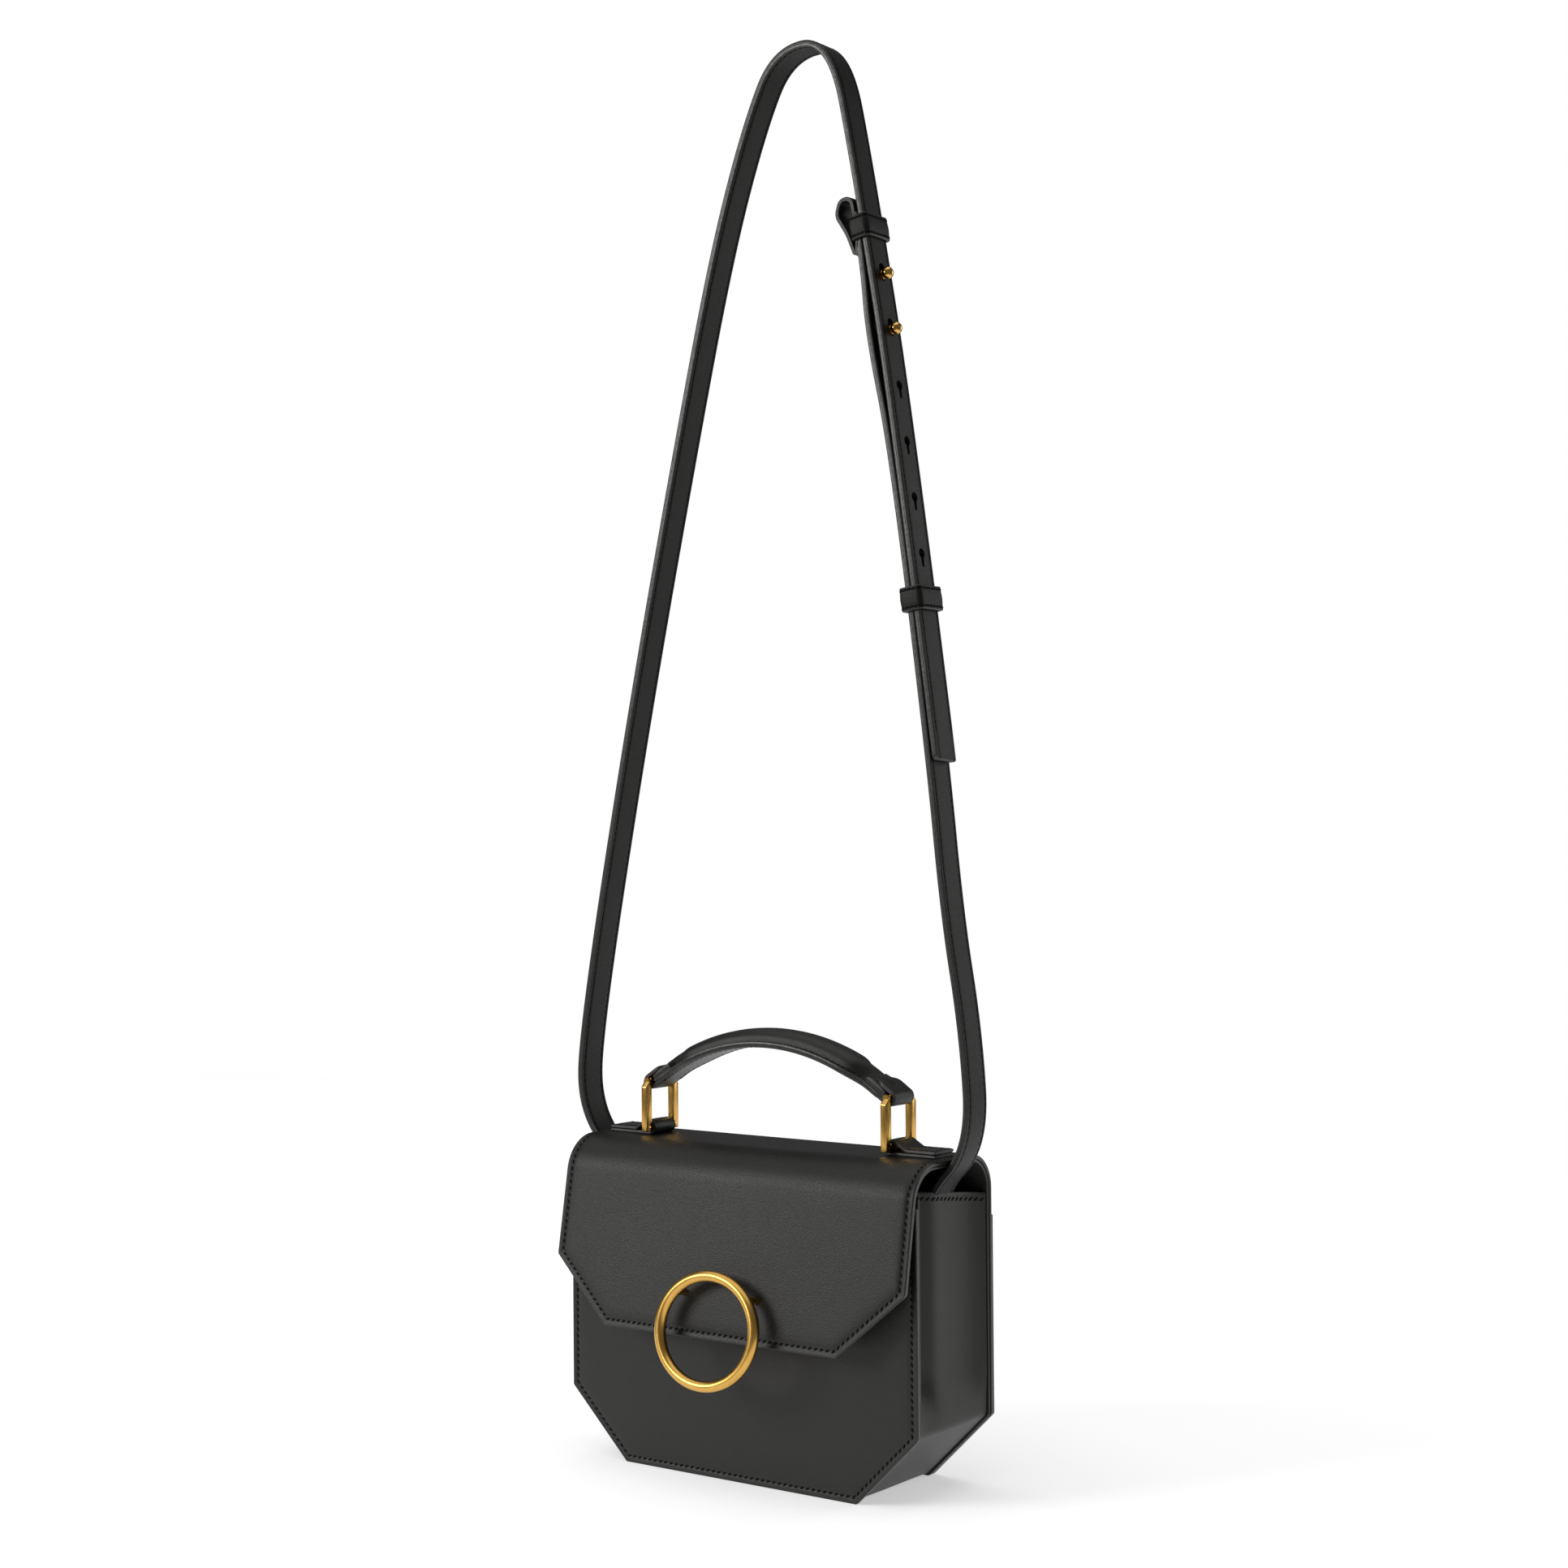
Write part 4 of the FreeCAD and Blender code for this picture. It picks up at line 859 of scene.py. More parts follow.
def ease_ends(path, step=0.35):
    """The same path with a close first and last station, where the edge is rounded."""
    (a, da), (b, db) = path[0], path[-1]
    first = ((a[0] + da[0] * step, a[1] + da[1] * step), da)
    last = ((b[0] - db[0] * step, b[1] - db[1] * step), db)
    return [path[0], first] + path[1:-1] + [last, path[-1]]


def band_seam(path, across, out, base=(0, 0, 0), axes=None):
    """Stitch line along a band's face."""
    e1, e2, e3 = axes or (Vector((1, 0, 0)), Vector((0, 0, 1)), Vector((0, 1, 0)))
    base = at(*base)
    line = []
    for (a, b), (da, db) in path:
        spot = base + (e1 * (a - db * out) + e2 * (b + da * out) + e3 * across) / 1000
        line.append((spot, (e1 * -db + e2 * da) * (1 if out > 0 else -1)))
    return line


LOOP_HALF = 7.6


def skived(share):
    """Narrowing of the handle loop's upper end, where the crown's leather runs over it."""
    return 0.58 + 0.42 * ease(share / 0.2)


TAB_PLY, LOOP_PLY = 1.5, 1.7
tab_mid = BAR + 0.05 + TAB_PLY / 2
loop_mid = BAR + 0.05 + LOOP_PLY / 2
roof_threads, handle_threads = [], []
for side, word in ((-1, "left"), (1, "right")):
    low, high = ROOF + TAB_PLY / 2 + 0.05, ROOF + TAB_PLY * 1.5 + 0.1
    reach, crest = FLAP_SIDE - 5.4, LOW_BAR + tab_mid
    tab_line = [(reach, low), (RING_X - tab_mid, low), (RING_X - tab_mid, crest), (RING_X + 2.5, crest),
                (RING_X + 8.5, high), (reach, high)]
    tab_path = rounded_path([(side * x, z) for x, z in tab_line], {1: tab_mid, 2: tab_mid, 3: 3.0, 4: 3.0},
                            1.5)
    show(band("roof_tab_" + word, ease_ends(tab_path), LOOP_HALF, TAB_PLY, (CALF, EDGE), seam=1.5,
              groove=0.15), "flap_shell", "leather_outer", "tab_" + word)
    pad = [((side * x, high), (side, 0.0)) for x in [RING_X + 9 + 0.5 * k for k in range(26)]]
    roof_threads += [band_seam(pad, across, side * (TAB_PLY / 2 - 0.02)) for across in (-6.1, 6.1)]
    pad_end = [(at(side * (reach - 1.6), y, high + TAB_PLY / 2 - 0.02), Vector((0, 0, 1)))
               for y in [-6.0 + 0.5 * k for k in range(25)]]
    pad_start = [(at(side * (RING_X + 10), y, high + TAB_PLY / 2 - 0.02), Vector((0, 0, 1)))
                 for y in [-6.0 + 0.5 * k for k in range(25)]]
    roof_threads += [pad_end, pad_start]

    ux, uz = -side * math.cos(END_SLOPE), math.sin(END_SLOPE)
    nx, nz = side * math.sin(END_SLOPE), math.cos(END_SLOPE)

    def on_loop(along, across, ring=side * RING_X, u=(ux, uz), n=(nx, nz)):
        return (ring + u[0] * along + n[0] * across, HIGH_BAR + u[1] * along + n[1] * across)

    loop_line = [on_loop(12.5, loop_mid - 1.9), on_loop(7.6, loop_mid), on_loop(-loop_mid, loop_mid),
                 on_loop(-loop_mid, -loop_mid), on_loop(12.5, -loop_mid)]
    loop_path = rounded_path(loop_line, {1: 6.0, 2: loop_mid, 3: loop_mid}, 1.0)
    show(band("handle_end_loop_" + word, ease_ends(loop_path), LOOP_HALF, LOOP_PLY, (CALF, EDGE), seam=1.5,
              groove=0.12, spread=skived), "handle", "leather_outer", "handle_loop_" + word)
    core = [(on_loop(x, 0), (ux, uz)) for x in (2.9, 3.1, 6.0, 9.0, 12.0, 14.0)]
    show(band("handle_end_core_" + word, core, LOOP_HALF - 0.2, 3.6, (EDGE, EDGE), groove=0.0), "handle",
         "leather_outer", "handle_grip")
show(sew("roof_tab_stitches", roof_threads, pitch=2.6, length=2.2, radius=0.24, slant=0.2), "flap_shell",
     "leather_outer")


# ------------------------------------------------------------------ handle grip
GRIP_END = 6.02  # flat end beyond the arch


def grip_station(s):
    """Middle, along and radial directions of the grip at share s of its length, from -1 to 1."""
    arc = ARCH_RADIUS * END_SLOPE
    run = s * (arc + GRIP_END)
    angle = max(-END_SLOPE, min(END_SLOPE, run / ARCH_RADIUS))
    past = run - angle * ARCH_RADIUS
    radial = (math.sin(angle), math.cos(angle))
    along = (math.cos(angle), -math.sin(angle))
    x = ARCH_RADIUS * math.sin(angle) + along[0] * past
    z = CROWN_Z - ARCH_RADIUS * (1 - math.cos(angle)) + along[1] * past
    return (x, z), along, radial, abs(math.degrees(run / ARCH_RADIUS))


def grip_shape(deg):
    """Half width of the base strip, its underside and the crown's top at this angle from the middle."""
    width = 7.85 + 2.15 * (1 - ease((deg - 23) / 9))
    close = ease((deg - 25.5) / 8)
    tip = ease((deg - 35.2) / 2.2)
    return width - 0.35 * tip, -4.1 + 0.4 * close + 0.6 * tip, 4.1 - 0.1 * close - 0.9 * tip


BASE_PLY = 2.6  # two plies of the handle's base strip


def grip_section(deg):
    width, low, top = grip_shape(deg)
    base = BASE_PLY
    shut = ease((deg - 25) / 6.5)
    crown = top - low - base
    reach = (width - 2.3) * (1 - 0.12 * shut)
    right = [(0.0, low), (0.5 * width, low), (width - 2.3, low), (width - 1.9, low + 0.2), (width - 1.5, low),
             (width - 0.45, low), (width - 0.12, low + 0.14), (width, low + 0.45),
             (width, low + base / 2 - 0.14),
             (width - 0.16, low + base / 2), (width, low + base / 2 + 0.14), (width, low + base - 0.45),
             (width - 0.12, low + base - 0.14), (width - 0.45, low + base), (width - 1.15, low + base),
             (width - 1.55, low + base - 0.28), (width - 1.95, low + base - 0.02)]
    for k in range(8):
        a = k / 8 * math.pi / 2
        full = (reach * math.cos(a) ** 0.9, math.sin(a) ** 0.8)
        peak = (reach * (1 - k / 8) ** 1.25, k / 8)
        y = full[0] * (1 - shut) + peak[0] * shut
        right.append((y, low + base + crown * (full[1] * (1 - shut) + peak[1] * shut)))
    right.append((0.0, low + base + crown))
    left = [(-y, r) for y, r in reversed(right[1:-1])]
    return right + left


def make_grip():
    shares = sorted({k / 44 for k in range(-44, 45)} | {-0.998, -0.993, 0.993, 0.998})
    points, faces, kinds, rims = [], [], [], []
    for s in shares:
        (x, z), _, radial, deg = grip_station(s)
        section = grip_section(deg)
        from_tip = min(shares.index(s), len(shares) - 1 - shares.index(s))
        slim = {0: 0.735, 1: 0.966}.get(from_tip, 1.0)
        width = grip_shape(deg)[0]
        for y, r in section:
            points.append(at(x + radial[0] * r * slim, y, z + radial[1] * r * slim))
            rims.append(max(0.0, 1 - (width - abs(y)) / 0.7))
    count = len(section)
    painted = {j for j in range(count) if 5 <= j <= 12 or 5 <= count - 1 - j <= 12}
    for k in range(len(shares) - 1):
        for j in range(count):
            a, b = k * count + j, k * count + (j + 1) % count
            faces.append((a, b, b + count, a + count))
            kinds.append(1 if j in painted else 0)
    faces += [tuple(range(count)), tuple(range(len(points) - count, len(points)))]
    kinds += [1, 1]
    return make_piece("handle_crown", points, faces, (CALF, EDGE), kinds, rims, crease=44)


handle_crown = make_grip()
show(handle_crown, "handle", "leather_outer", "handle_grip")
for way in (-1, 1):
    upper, under = [], []
    for k in range(-96, 97):
        (x, z), _, radial, deg = grip_station(k / 98)
        width, low, _ = grip_shape(deg)
        for line, y, r, sign in ((upper, width - 1.55, low + BASE_PLY - 0.16, 1),
                                 (under, width - 1.9, low + 0.08, -1)):
            line.append((at(x + radial[0] * r, way * y, z + radial[1] * r),
                         Vector((radial[0] * sign, 0, radial[1] * sign))))
    handle_threads += [upper, under]
show(sew("handle_stitches", handle_threads, pitch=2.9, length=2.5, radius=0.27, slant=0.25), "handle",
     "leather_outer")


# ------------------------------------------------------------------ handle rings
def join(name, parts, finish):
    """One mesh from several closed parts, each a list of points and faces."""
    points, faces = [], []
    for part_points, part_faces in parts:
        first = len(points)
        points += part_points
        faces += [tuple(first + i for i in f) for f in part_faces]
    return make_piece(name, points, faces, (finish,), crease=32)


def rod(start, end, radius, sides=20):
    """Closed round bar between two points, in mm."""
    a, b = Vector(start), Vector(end)
    axis = (b - a).normalized()
    u = axis.orthogonal().normalized()
    w = axis.cross(u)
    points = [at(*(p + (u * math.cos(t) + w * math.sin(t)) * radius))
              for p in (a, b) for t in [2 * math.pi * k / sides for k in range(sides)]]
    faces = [(k, (k + 1) % sides, sides + (k + 1) % sides, sides + k) for k in range(sides)]
    return points, faces + [tuple(range(sides)), tuple(range(sides, 2 * sides))]


def ring_post(x, y, way):
    """Square post with softened edges, its top cut to a slanting facet that faces outward."""
    shape = bmesh.new()
    bmesh.ops.create_cube(shape, size=1.0)
    low, high = LOW_BAR - BAR, HIGH_BAR + BAR
    for v in shape.verts:
        v.co = Vector((x + v.co.x * 3.3, y + v.co.y * 4.1, (low + high) / 2 + v.co.z * (high - low)))
    whole = shape.verts[:] + shape.edges[:] + shape.faces[:]
    bmesh.ops.bisect_plane(shape, geom=whole, plane_co=(x, y - way * 1.7, high),
                           plane_no=(0, way * 1.0, 0.95), clear_outer=True)
    bmesh.ops.holes_fill(shape, edges=shape.edges)
    bmesh.ops.bevel(shape, geom=shape.edges[:], offset=0.5, segments=3, affect="EDGES", profile=0.5)
    shape.verts.index_update()
    part = ([at(*v.co) for v in shape.verts], [tuple(v.index for v in f.verts) for f in shape.faces])
    shape.free()
    return part


for side, word in ((-1, "left"), (1, "right")):
    x = side * RING_X
    parts = [ring_post(x, way * 9.8, way) for way in (-1, 1)]
    parts += [rod((x, -9.8, z), (x, 9.8, z), BAR) for z in (LOW_BAR, HIGH_BAR)]
    show(join("handle_ring_" + word, parts, RING_GOLD), word + "_ring", "gold_metal", "ring_" + word)

# ------------------------------------------------------------------ ornament
OVAL_ACROSS, OVAL_UP, WIRE, STANDOFF = 25.5, 23.5, 2.5, 7.5
ORNAMENT_Z = PANEL_TOP - 59.3
face_up = Vector((0, math.sin(lean_angle), math.cos(lean_angle)))
face_out = Vector((0, -math.cos(lean_angle), math.sin(lean_angle)))


def on_face(x, up, out):
    """Point over the flap's face, in mm, from across, up and outward lengths about the ornament's middle."""
    middle = Vector((0, face_y + (ORNAMENT_Z - PANEL_TOP) * LEAN, ORNAMENT_Z))
    return middle + Vector((x, 0, 0)) + face_up * up + face_out * out


def oval_ring():
    """Plain oval of round wire, a little fuller at its two sides."""
    around, sides = 112, 20
    points, faces = [], []
    for k in range(around):
        t = 2 * math.pi * k / around
        outward = Vector((math.cos(t) / OVAL_ACROSS, math.sin(t) / OVAL_UP, 0)).normalized()
        wire = WIRE * (0.96 + 0.1 * abs(math.cos(t)) ** 3)
        for j in range(sides):
            a = 2 * math.pi * j / sides
            reach = wire * math.cos(a)
            spot = on_face(OVAL_ACROSS * math.cos(t) + outward.x * reach,
                           OVAL_UP * math.sin(t) + outward.y * reach, STANDOFF + wire * math.sin(a) * 0.95)
            points.append(at(*spot))
    for k in range(around):
        for j in range(sides):
            a, b = k * sides + j, k * sides + (j + 1) % sides
            c, d = ((k + 1) % around) * sides + (j + 1) % sides, ((k + 1) % around) * sides + j
            faces.append((a, b, c, d))
    return points, faces


post_angle = math.radians(40)
post_spots = [(way * OVAL_ACROSS * math.cos(post_angle), OVAL_UP * math.sin(post_angle)) for way in (-1, 1)]
posts = [rod(on_face(x, up, 0.05), on_face(x, up, STANDOFF), 1.6) for x, up in post_spots]
show(join("oval_ornament", [oval_ring()] + posts, SATIN_GOLD), "flap_shell", "gold_metal", "ornament")

# ------------------------------------------------------------------ shoulder strap
LONG_ROUTE = [
    (-83.8, 112.45), (-83.8, 128.5), (-110.5, 154.5), (-107.5, 197.0), (-78.2, 338.0), (-47.0, 470.0),
    (-26.0, 553.0), (-7.0, 607.0), (9.0, 636.8), (39.5, 636.8), (52.0, 578.0), (72.5, 462.0), (92.0, 315.5)]
SHORT_ROUTE = [
    (83.8, 112.45), (83.8, 128.5), (107.0, 151.5), (104.0, 200.0), (95.2, 250.0), (88.4, 317.56),
    (70.83, 449.56), (58.87, 502.9), (56.35, 534.43), (52.28, 557.43)]


def strap_spline(name, route):
    """Points read from one smooth curve through the strap's route."""
    curve = bpy.data.curves.new(name + "_line", "CURVE")
    curve.dimensions = "3D"
    curve.resolution_u = 18
    spline = curve.splines.new("NURBS")
    spline.points.add(len(route) - 1)
    for point, (x, z) in zip(spline.points, route):
        point.co = (*at(x, 0, z), 1.0)
    spline.order_u = 3
    spline.use_endpoint_u = True
    holder = bpy.data.objects.new(name + "_line", curve)
    bpy.context.scene.collection.objects.link(holder)
    depsgraph = bpy.context.evaluated_depsgraph_get()
    mesh = bpy.data.meshes.new_from_object(holder.evaluated_get(depsgraph))
    spots = [v.co.copy() for v in mesh.vertices]
    bpy.data.meshes.remove(mesh)
    bpy.data.objects.remove(holder)
    return spots


def as_path(spots):
    """Flat path of the band builder from points in the frame."""
    flat = [(p.x * 1000, p.z * 1000) for p in spots]
    path = []
    for k, (x, z) in enumerate(flat):
        before, after = flat[max(k - 1, 0)], flat[min(k + 1, len(flat) - 1)]
        d = Vector((after[0] - before[0], after[1] - before[1])).normalized()
        path.append(((x, z), (d.x, d.y)))
    return path


def path_length(spots):
    return sum((b - a).length for a, b in zip(spots, spots[1:]))


TAIL_CORNER, TAIL_SLANT = 1.6, 1.5


def tail_cut(across):
    """How far the long piece's tail is cut back at this place across it."""
    corner = max(abs(across) - (STRAP_HALF - TAIL_CORNER), 0.0)
    rounding = TAIL_CORNER - math.sqrt(max(TAIL_CORNER ** 2 - corner ** 2, 0.0))
    return -TAIL_SLANT * (STRAP_HALF - across) / (2 * STRAP_HALF) - rounding


long_spots, short_spots = strap_spline("strap_long", LONG_ROUTE), strap_spline("strap_short", SHORT_ROUTE)
long_path, short_path = as_path(long_spots), as_path(short_spots)
while math.dist(long_path[-2][0], long_path[-1][0]) < 5.0:
    del long_path[-2]
end_point, end_dir = long_path[-1]
long_path.insert(-1, ((end_point[0] - end_dir[0] * 0.4, end_point[1] - end_dir[1] * 0.4), end_dir))
strap_long = band("shoulder_strap_long", long_path, STRAP_HALF, STRAP_PLY, (STRAP_CALF, EDGE), cut=tail_cut)
strap_short = band("shoulder_strap_short", ease_ends(short_path), STRAP_HALF, STRAP_PLY, (STRAP_CALF, EDGE))


def double_at(z):
    """Middle of the long piece at height z on the doubled stretch, and its downward direction."""

    def miss(k):
        spot = long_spots[k]
        return abs(spot.z * 1000 - z) + (spot.x < 0.045) * 1e3

    near = min(range(len(long_spots)), key=miss)
    a, b = long_spots[near - 1], long_spots[min(near + 1, len(long_spots) - 1)]
    d = Vector((b.x - a.x, b.z - a.z)).normalized()
    share = (a.z * 1000 - z) / ((a.z - b.z) * 1000)
    return (a.x + (b.x - a.x) * share) * 1000, (d.x, d.y)


def stud_frame(z):
    """Middle of the strap at a hole, its down and outward directions."""
    x, down = double_at(z)
    return Vector((x, 0, z)), Vector((down[0], 0, down[1])), Vector((-down[1], 0, down[0]))


HOLES, HOLE_PITCH, TOP_STUD, STUD_SAG = 6, 24.7, 529.6, 3.0
HOLE_RADIUS = 2.2
STUD_FOOT = 1.7  # thickness of the stud's disc with its gap behind the strap
STUD_BACKS = (5.4, 7.3)  # how far the short piece's back lies behind the long piece's middle at each stud
cutters = []
for k in range(HOLES):
    middle, down, out = stud_frame(TOP_STUD - k * HOLE_PITCH)
    if k < 2:
        middle = middle - down * STUD_SAG
    outline = []
    for j in range(19):
        a = math.radians(30 + 300 * j / 18)
        outline.append((HOLE_RADIUS * math.cos(a), HOLE_RADIUS * math.sin(a)))
    outline += [(5.6, -0.8), (6.0, -0.4), (6.0, 0.4), (5.6, 0.8)]
    cut_points = [at(*(middle + down * a + Vector((0, b, 0)) + out * h)) for h in (-4, 4) for a, b in outline]
    n = len(outline)
    cut_faces = [(j, (j + 1) % n, n + (j + 1) % n, n + j) for j in range(n)]
    cut_faces += [tuple(range(n)), tuple(range(n, 2 * n))]
    cutters.append((cut_points, cut_faces))
keyholes = join("keyhole_cutters", cutters, EDGE)
punch = strap_long.modifiers.new("punch", "BOOLEAN")
punch.operation = "DIFFERENCE"
punch.solver = "EXACT"
punch.object = keyholes
punched = bpy.data.meshes.new_from_object(strap_long.evaluated_get(bpy.context.evaluated_depsgraph_get()))
strap_long.modifiers.clear()
strap_long.data = punched
strap_long.data.set_sharp_from_angle(angle=math.radians(38))
bpy.data.objects.remove(keyholes)


def turned(profile, base, axis, sides=24):
    """Closed turned part from (radius, height) pairs along an axis, in mm."""
    axis = Vector(axis).normalized()
    u = axis.orthogonal().normalized()
    w = axis.cross(u)
    points = [at(*(Vector(base) + axis * profile[0][1]))]
    inner = profile[1:-1]
    for r, h in inner:
        for k in range(sides):
            t = 2 * math.pi * k / sides
            points.append(at(*(Vector(base) + axis * h + (u * math.cos(t) + w * math.sin(t)) * r)))
    points.append(at(*(Vector(base) + axis * profile[-1][1])))
    faces = [(0, 1 + k, 1 + (k + 1) % sides) for k in range(sides)]
    for ring in range(len(inner) - 1):
        a = 1 + ring * sides
        faces += [(a + k, a + sides + k, a + sides + (k + 1) % sides, a + (k + 1) % sides)
                  for k in range(sides)]
    a, tip = 1 + (len(inner) - 1) * sides, len(points) - 1
    faces += [(tip, a + (k + 1) % sides, a + k) for k in range(sides)]
    return points, faces


studs = []
for k in range(2):
    middle, down, out = stud_frame(TOP_STUD - k * HOLE_PITCH)
    foot = middle - out * (STUD_BACKS[k] + STUD_FOOT)
    head = STUD_BACKS[k] + STUD_FOOT + STRAP_PLY / 2 + 2.6
    profile = [(0, 0), (3.6, 0), (3.95, 0.25), (3.95, 0.75), (3.6, 1.0), (1.6, 1.05), (1.5, 1.3),
               (1.5, head - 2.6), (1.95, head - 2.5), (2.0, head - 2.2), (1.7, head - 2.05)]
    profile += [(2.75 * math.sin(math.radians(a)), head - 2.65 * math.cos(math.radians(a)))
                for a in range(42, 176, 12)]
    profile.append((0, head + 2.65))
    studs.append(turned(profile, foot, out))
strap_studs = join("ball_studs", studs, STUD_GOLD)


def keeper_path(half_wide, half_thick, corner):
    """Closed rounded outline of a keeper's middle line."""
    path = []
    for cx, cy, start in ((1, 1, 0), (-1, 1, 90), (-1, -1, 180), (1, -1, 270)):
        for k in range(7):
            a = math.radians(start + 15 * k)
            c, s = math.cos(a), math.sin(a)
            spot = (cx * (half_wide - corner) + corner * c, cy * (half_thick - corner) + corner * s)
            path.append((spot, (-s, c)))
        if cy * cx > 0:
            x_from, y = cx * (half_wide - corner), cy * half_thick
            for k in range(1, 6):
                path.append(((x_from - cx * 2 * (half_wide - corner) * k / 6, y), (-cx, 0.0)))
    return path


KEEPER_PLY, KEEPER_HALF = 1.5, 5.25
KEEPER_ROOM = {"sliding": 1.0, "fixed": 0.35}  # over and under the doubled strap
keeper_threads = {}
keepers = {}
for word, z in (("sliding", 386.5), ("fixed", 551.0)):
    x, down = double_at(z)
    out = Vector((-down[1], 0, down[0]))
    middle = Vector((x, 0, z)) - out * 1.65
    half_wide = STRAP_HALF + 0.3 + KEEPER_PLY / 2
    half_thick = (2 * STRAP_PLY + 0.3) / 2 + KEEPER_ROOM[word] + KEEPER_PLY / 2
    axes = (Vector((0, 1, 0)), out, Vector((down[0], 0, down[1])))
    loop = keeper_path(half_wide, half_thick, 1.6)
    keepers[word] = band("strap_keeper_" + word, loop, KEEPER_HALF, KEEPER_PLY, (STRAP_CALF, EDGE),
                         base=tuple(middle), axes=axes, closed=True, seam=1.4, groove=0.12, crown=0.25)
    rows = [band_seam(loop + loop[:1], across, -KEEPER_PLY / 2 + 0.02, base=tuple(middle), axes=axes)
            for across in (-3.85, 3.85)]
    keeper_threads[word] = sew("keeper_stitches_" + word, rows, pitch=2.4, length=2.1, radius=0.22,
                               slant=0.15)

# folded-back top of the short piece: a soft teardrop loop whose inner leg runs through the fixed keeper
FOLD_Z = 556.0
fold_x, fold_down = double_at(FOLD_Z)
fold_axes = (Vector((fold_down[0], 0, fold_down[1])), Vector((fold_down[1], 0, -fold_down[0])),
             Vector((0, 1, 0)))
fold_corners = [(16.0, 6.6), (6.0, 8.8), (-3.5, 12.9), (-9.5, 9.8), (-9.0, 3.9), (8.0, 3.5), (16.0, 5.4)]
fold_line = rounded_path(fold_corners, {1: 26.0, 2: 5.2, 3: 3.4, 4: 3.6, 5: 16.0}, 1.2)
strap_fold = band("strap_fold_loop", ease_ends(fold_line), STRAP_HALF, 2.0, (STRAP_CALF, EDGE),
                  base=(fold_x, 0, FOLD_Z), axes=fold_axes, seam=1.5, groove=0.12)


def strap_edge_threads(path, skip_start, skip_end):
    """Four rows along a strap: near both edges, on both faces."""
    kept = path[skip_start:len(path) - skip_end]
    face = STRAP_PLY / 2 - 0.1
    return [band_seam(kept, across, out) for across in (-5.9, 5.9) for out in (face, -face)]


long_threads = sew("long_strap_stitches", strap_edge_threads(long_path, 1, 2), pitch=2.9, length=2.45,
                   radius=0.24, slant=0.12)
short_threads = sew("short_strap_stitches", strap_edge_threads(short_path, 1, 1), pitch=2.9, length=2.45,
                    radius=0.24, slant=0.12)
show(strap_long, "bag", "leather_outer", "strap_long")
show(strap_short, "bag", "leather_outer", "strap_short")
show(strap_studs, "bag", "gold_metal", "strap_studs")
show(long_threads, "bag", "leather_outer")
show(short_threads, "bag", "leather_outer")
show(keepers["fixed"], "bag", "leather_outer", "keeper_fixed")
show(strap_fold, "bag", "leather_outer", "strap_fold")
show(keeper_threads["fixed"], "bag", "leather_outer")
show(keepers["sliding"], "keeper", "leather_outer", "keeper_sliding")
show(keeper_threads["sliding"], "keeper", "leather_outer")
tuple(at(-ANCHOR_X, 0, ANCHOR_Z))
round(path_length(long_spots), 3)
[tuple(p) for p in long_spots]
tuple(at(ANCHOR_X, 0, ANCHOR_Z))
round(path_length(short_spots), 3)
[tuple(p) for p in short_spots]

# ------------------------------------------------------------------ tabs and loops that hold the strap inside
ANCHOR_PLY = 1.3
anchor_threads = []
for side, word in ((-1, "left"), (1, "right")):
    tab_route = [(85.95, 86.0), (85.95, 102.15), (81.65, 102.15), (81.65, 97.0), (84.55, 93.0), (84.55, 86.0)]
    loop_route = [(85.95, 121.0), (85.95, 107.85), (81.65, 107.85), (81.65, 121.0)]
    tab_path = rounded_path([(side * x, z) for x, z in tab_route], {1: 2.15, 2: 2.15, 3: 2.0, 4: 2.0}, 1.5)
    end_path = rounded_path([(side * x, z) for x, z in loop_route], {1: 2.15, 2: 2.15}, 1.5)
    for piece, path, finish, node in (("anchor_strap_", tab_path, CALF, "anchor_tab_"),
                                      ("strap_end_loop_", end_path, STRAP_CALF, "strap_end_")):
        show(band(piece + word, ease_ends(path), LOOP_HALF, ANCHOR_PLY, (finish, EDGE), seam=1.5, groove=0.1),
             "bag", "leather_outer", node + word)
    inner_face = side * 81.0
    anchor_threads += [[(at(inner_face + side * 2.9, y, z), Vector((-side, 0, 0)))
                        for z in (86.8, 88.5, 90.5, 92.0)] for y in (-6.1, 6.1)]
show(sew("anchor_stitches", anchor_threads, pitch=2.6, length=2.2, radius=0.24, slant=0.2), "bag",
     "leather_outer")

# ------------------------------------------------------------------ finishes of carried-over hidden parts
carried = {
    "anchor_ring_left": RING_GOLD, "anchor_ring_right": RING_GOLD,
    "striker": STEEL, "lock_housing": STEEL, "lock_magnet": STEEL, "lock_backplate": STEEL,
    "ornament_screws": STEEL, "base_board": BOARD,
}
for name, finish in carried.items():
    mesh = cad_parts[name].data
    mesh.materials.clear()
    mesh.materials.append(finish)

# ------------------------------------------------------------------ studio
scene = bpy.context.scene
scene.view_settings.view_transform = "Standard"


FLOOR_SIDES = (-1.6, 0.8, -0.5, 1.1)  # left, right, near and far, in metres


def make_floor():
    mesh = bpy.data.meshes.new("studio_floor")
    left, right, near, far = FLOOR_SIDES
    mesh.from_pydata([(left, near, 0), (right, near, 0), (right, far, 0), (left, far, 0)], [], [(0, 1, 2, 3)])
    material, tree, surface = blank_material("floor_paper")
    surface.inputs["Base Color"].default_value = (0.9, 0.9, 0.905, 1)
    surface.inputs["Roughness"].default_value = 0.9
    surface.inputs["Specular IOR Level"].default_value = 0.1
    surface.inputs["Emission Color"].default_value = (1.0, 1.0, 1.005, 1)
    surface.inputs["Emission Strength"].default_value = 0.47
    mesh.materials.append(material)
    floor = bpy.data.objects.new("studio_floor", mesh)
    scene.collection.objects.link(floor)


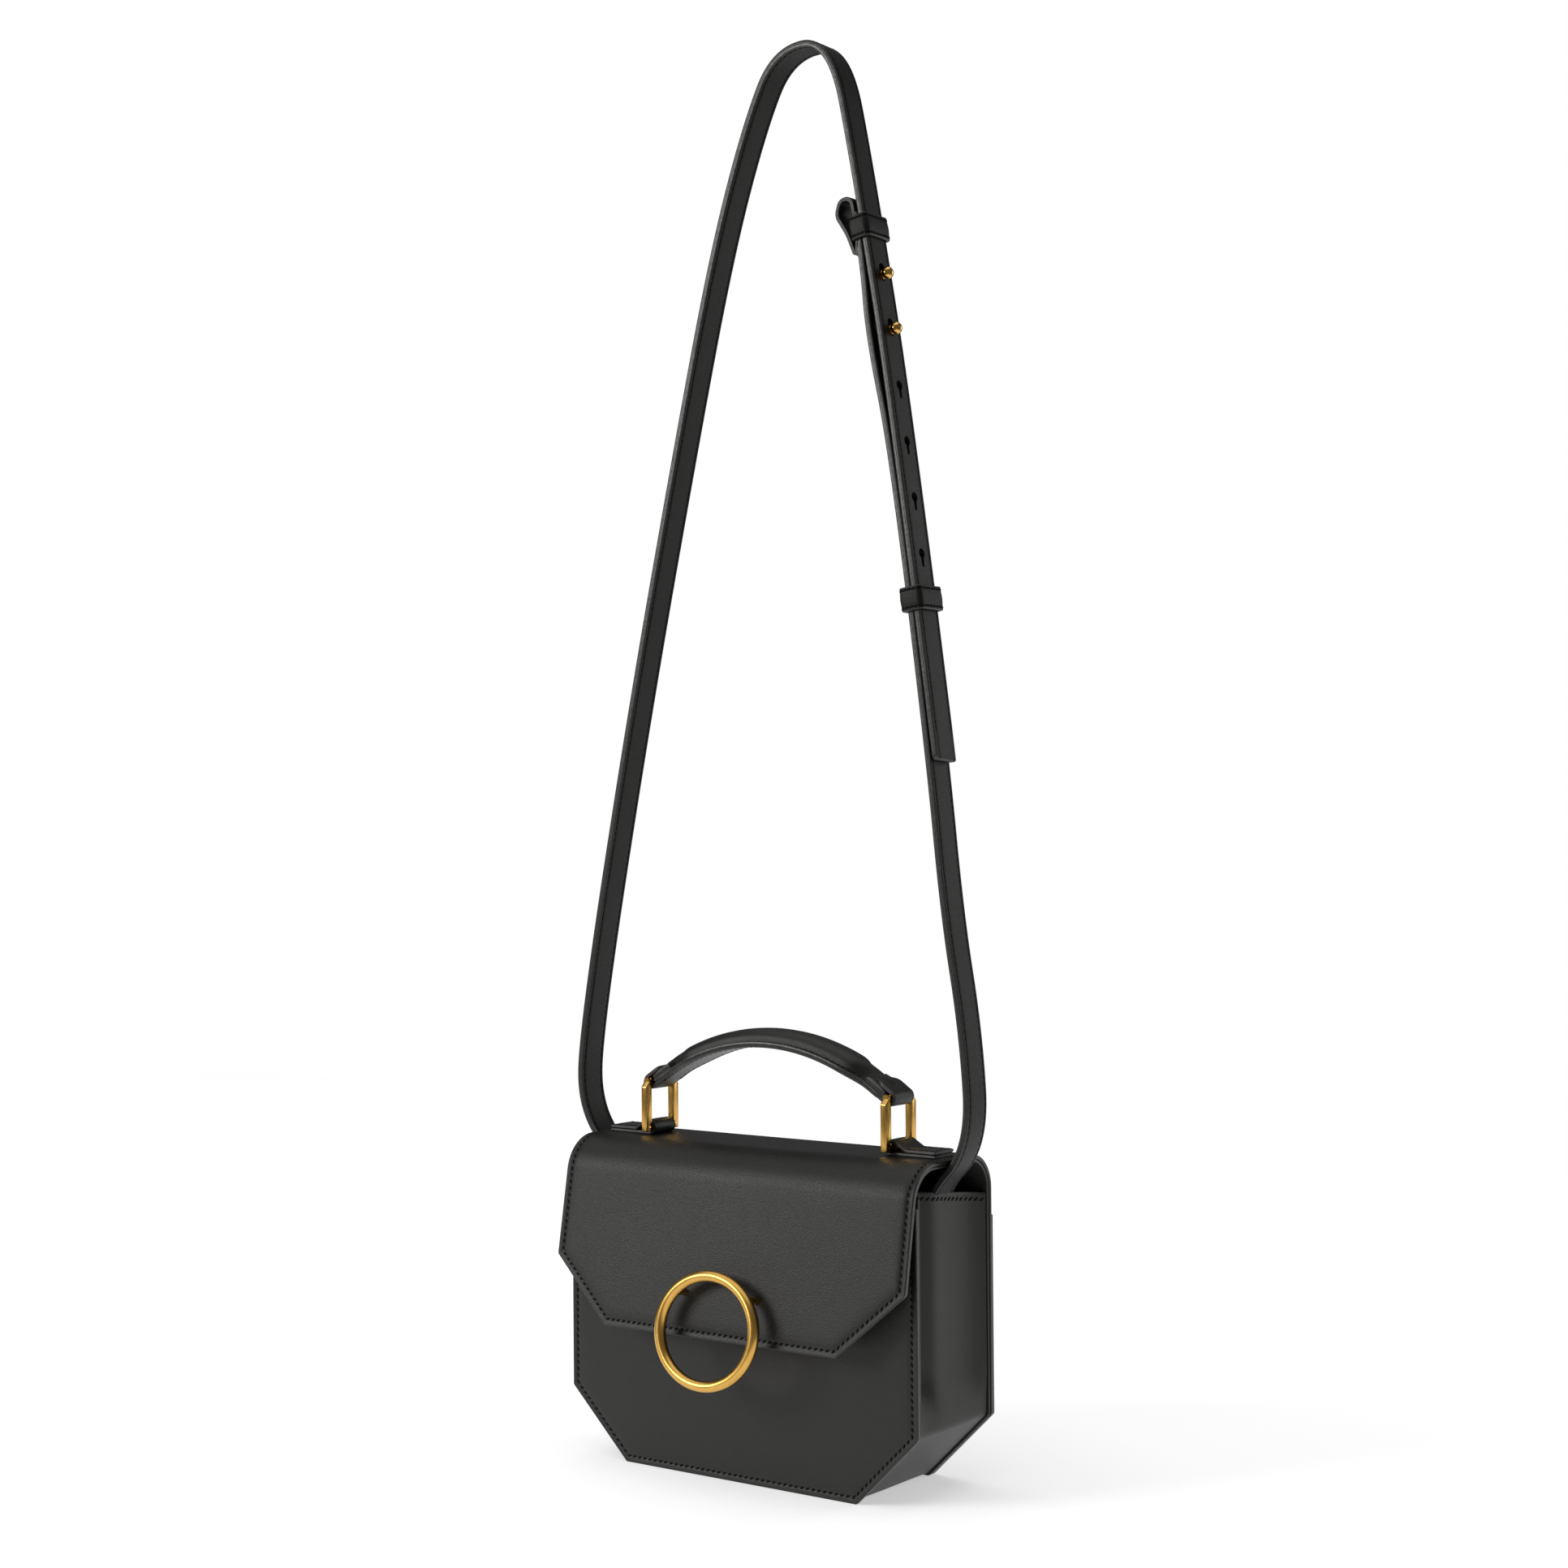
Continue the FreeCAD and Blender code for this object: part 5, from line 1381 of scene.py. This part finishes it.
def softbox(name, place, target, size, power):
    lamp = bpy.data.lights.new(name, "AREA")
    lamp.shape = "RECTANGLE"
    lamp.size, lamp.size_y = size
    lamp.energy = power
    obj = bpy.data.objects.new(name, lamp)
    obj.location = place
    obj.rotation_euler = (Vector(target) - Vector(place)).to_track_quat("-Z", "Y").to_euler()
    scene.collection.objects.link(obj)


def make_air():
    """White studio air behind the bag that itself lights it only faintly."""
    world = bpy.data.worlds.new("studio_air")
    world.use_nodes = True
    tree = world.node_tree
    seen = tree.nodes.new("ShaderNodeLightPath")
    strength = ramp(tree, seen.outputs["Is Camera Ray"], 0.14, 1.0)
    tree.links.new(strength, tree.nodes["Background"].inputs["Strength"])
    tree.nodes["Background"].inputs["Color"].default_value = (1, 1, 1, 1)
    scene.world = world


make_floor()
make_air()
softbox("key_softbox", (-1.35, -1.75, 0.95), (0, 0, 0.12), (1.0, 0.8), 26)
softbox("right_strip", (1.0, 1.3, 0.6), (0, 0, 0.1), (0.5, 1.1), 5)
sky = bpy.data.lights.new("soft_sky", "SUN")
sky.energy, sky.angle = 1.15, math.radians(75)
sky_lamp = bpy.data.objects.new("soft_sky", sky)
sky_lamp.rotation_euler = Vector((-0.12, -0.05, 1.0)).to_track_quat("Z", "Y").to_euler()
scene.collection.objects.link(sky_lamp)

# camera: level with the strap's lower half, 36 degrees round to the right of the front
CAMERA_PLACE = (0.67057, -0.89591, 0.29260)
AZIMUTH, PITCH_DOWN, ROLL = math.radians(36.148), math.radians(-0.76), math.radians(-0.436)
ahead = Vector((-math.sin(AZIMUTH) * math.cos(PITCH_DOWN), math.cos(AZIMUTH) * math.cos(PITCH_DOWN),
                -math.sin(PITCH_DOWN)))
right = Vector((math.cos(AZIMUTH), math.sin(AZIMUTH), 0))
up = right.cross(ahead)
right_rolled = right * math.cos(ROLL) + up * math.sin(ROLL)
up_rolled = up * math.cos(ROLL) - right * math.sin(ROLL)
lens = bpy.data.cameras.new("camera")
lens.lens, lens.sensor_width = 57.47, 36.0
lens.clip_start, lens.clip_end = 0.05, 60.0
camera = bpy.data.objects.new("camera", lens)
turn = Matrix((right_rolled, up_rolled, -ahead)).transposed().to_4x4()
camera.matrix_world = Matrix.Translation(CAMERA_PLACE) @ turn
scene.collection.objects.link(camera)
scene.camera = camera
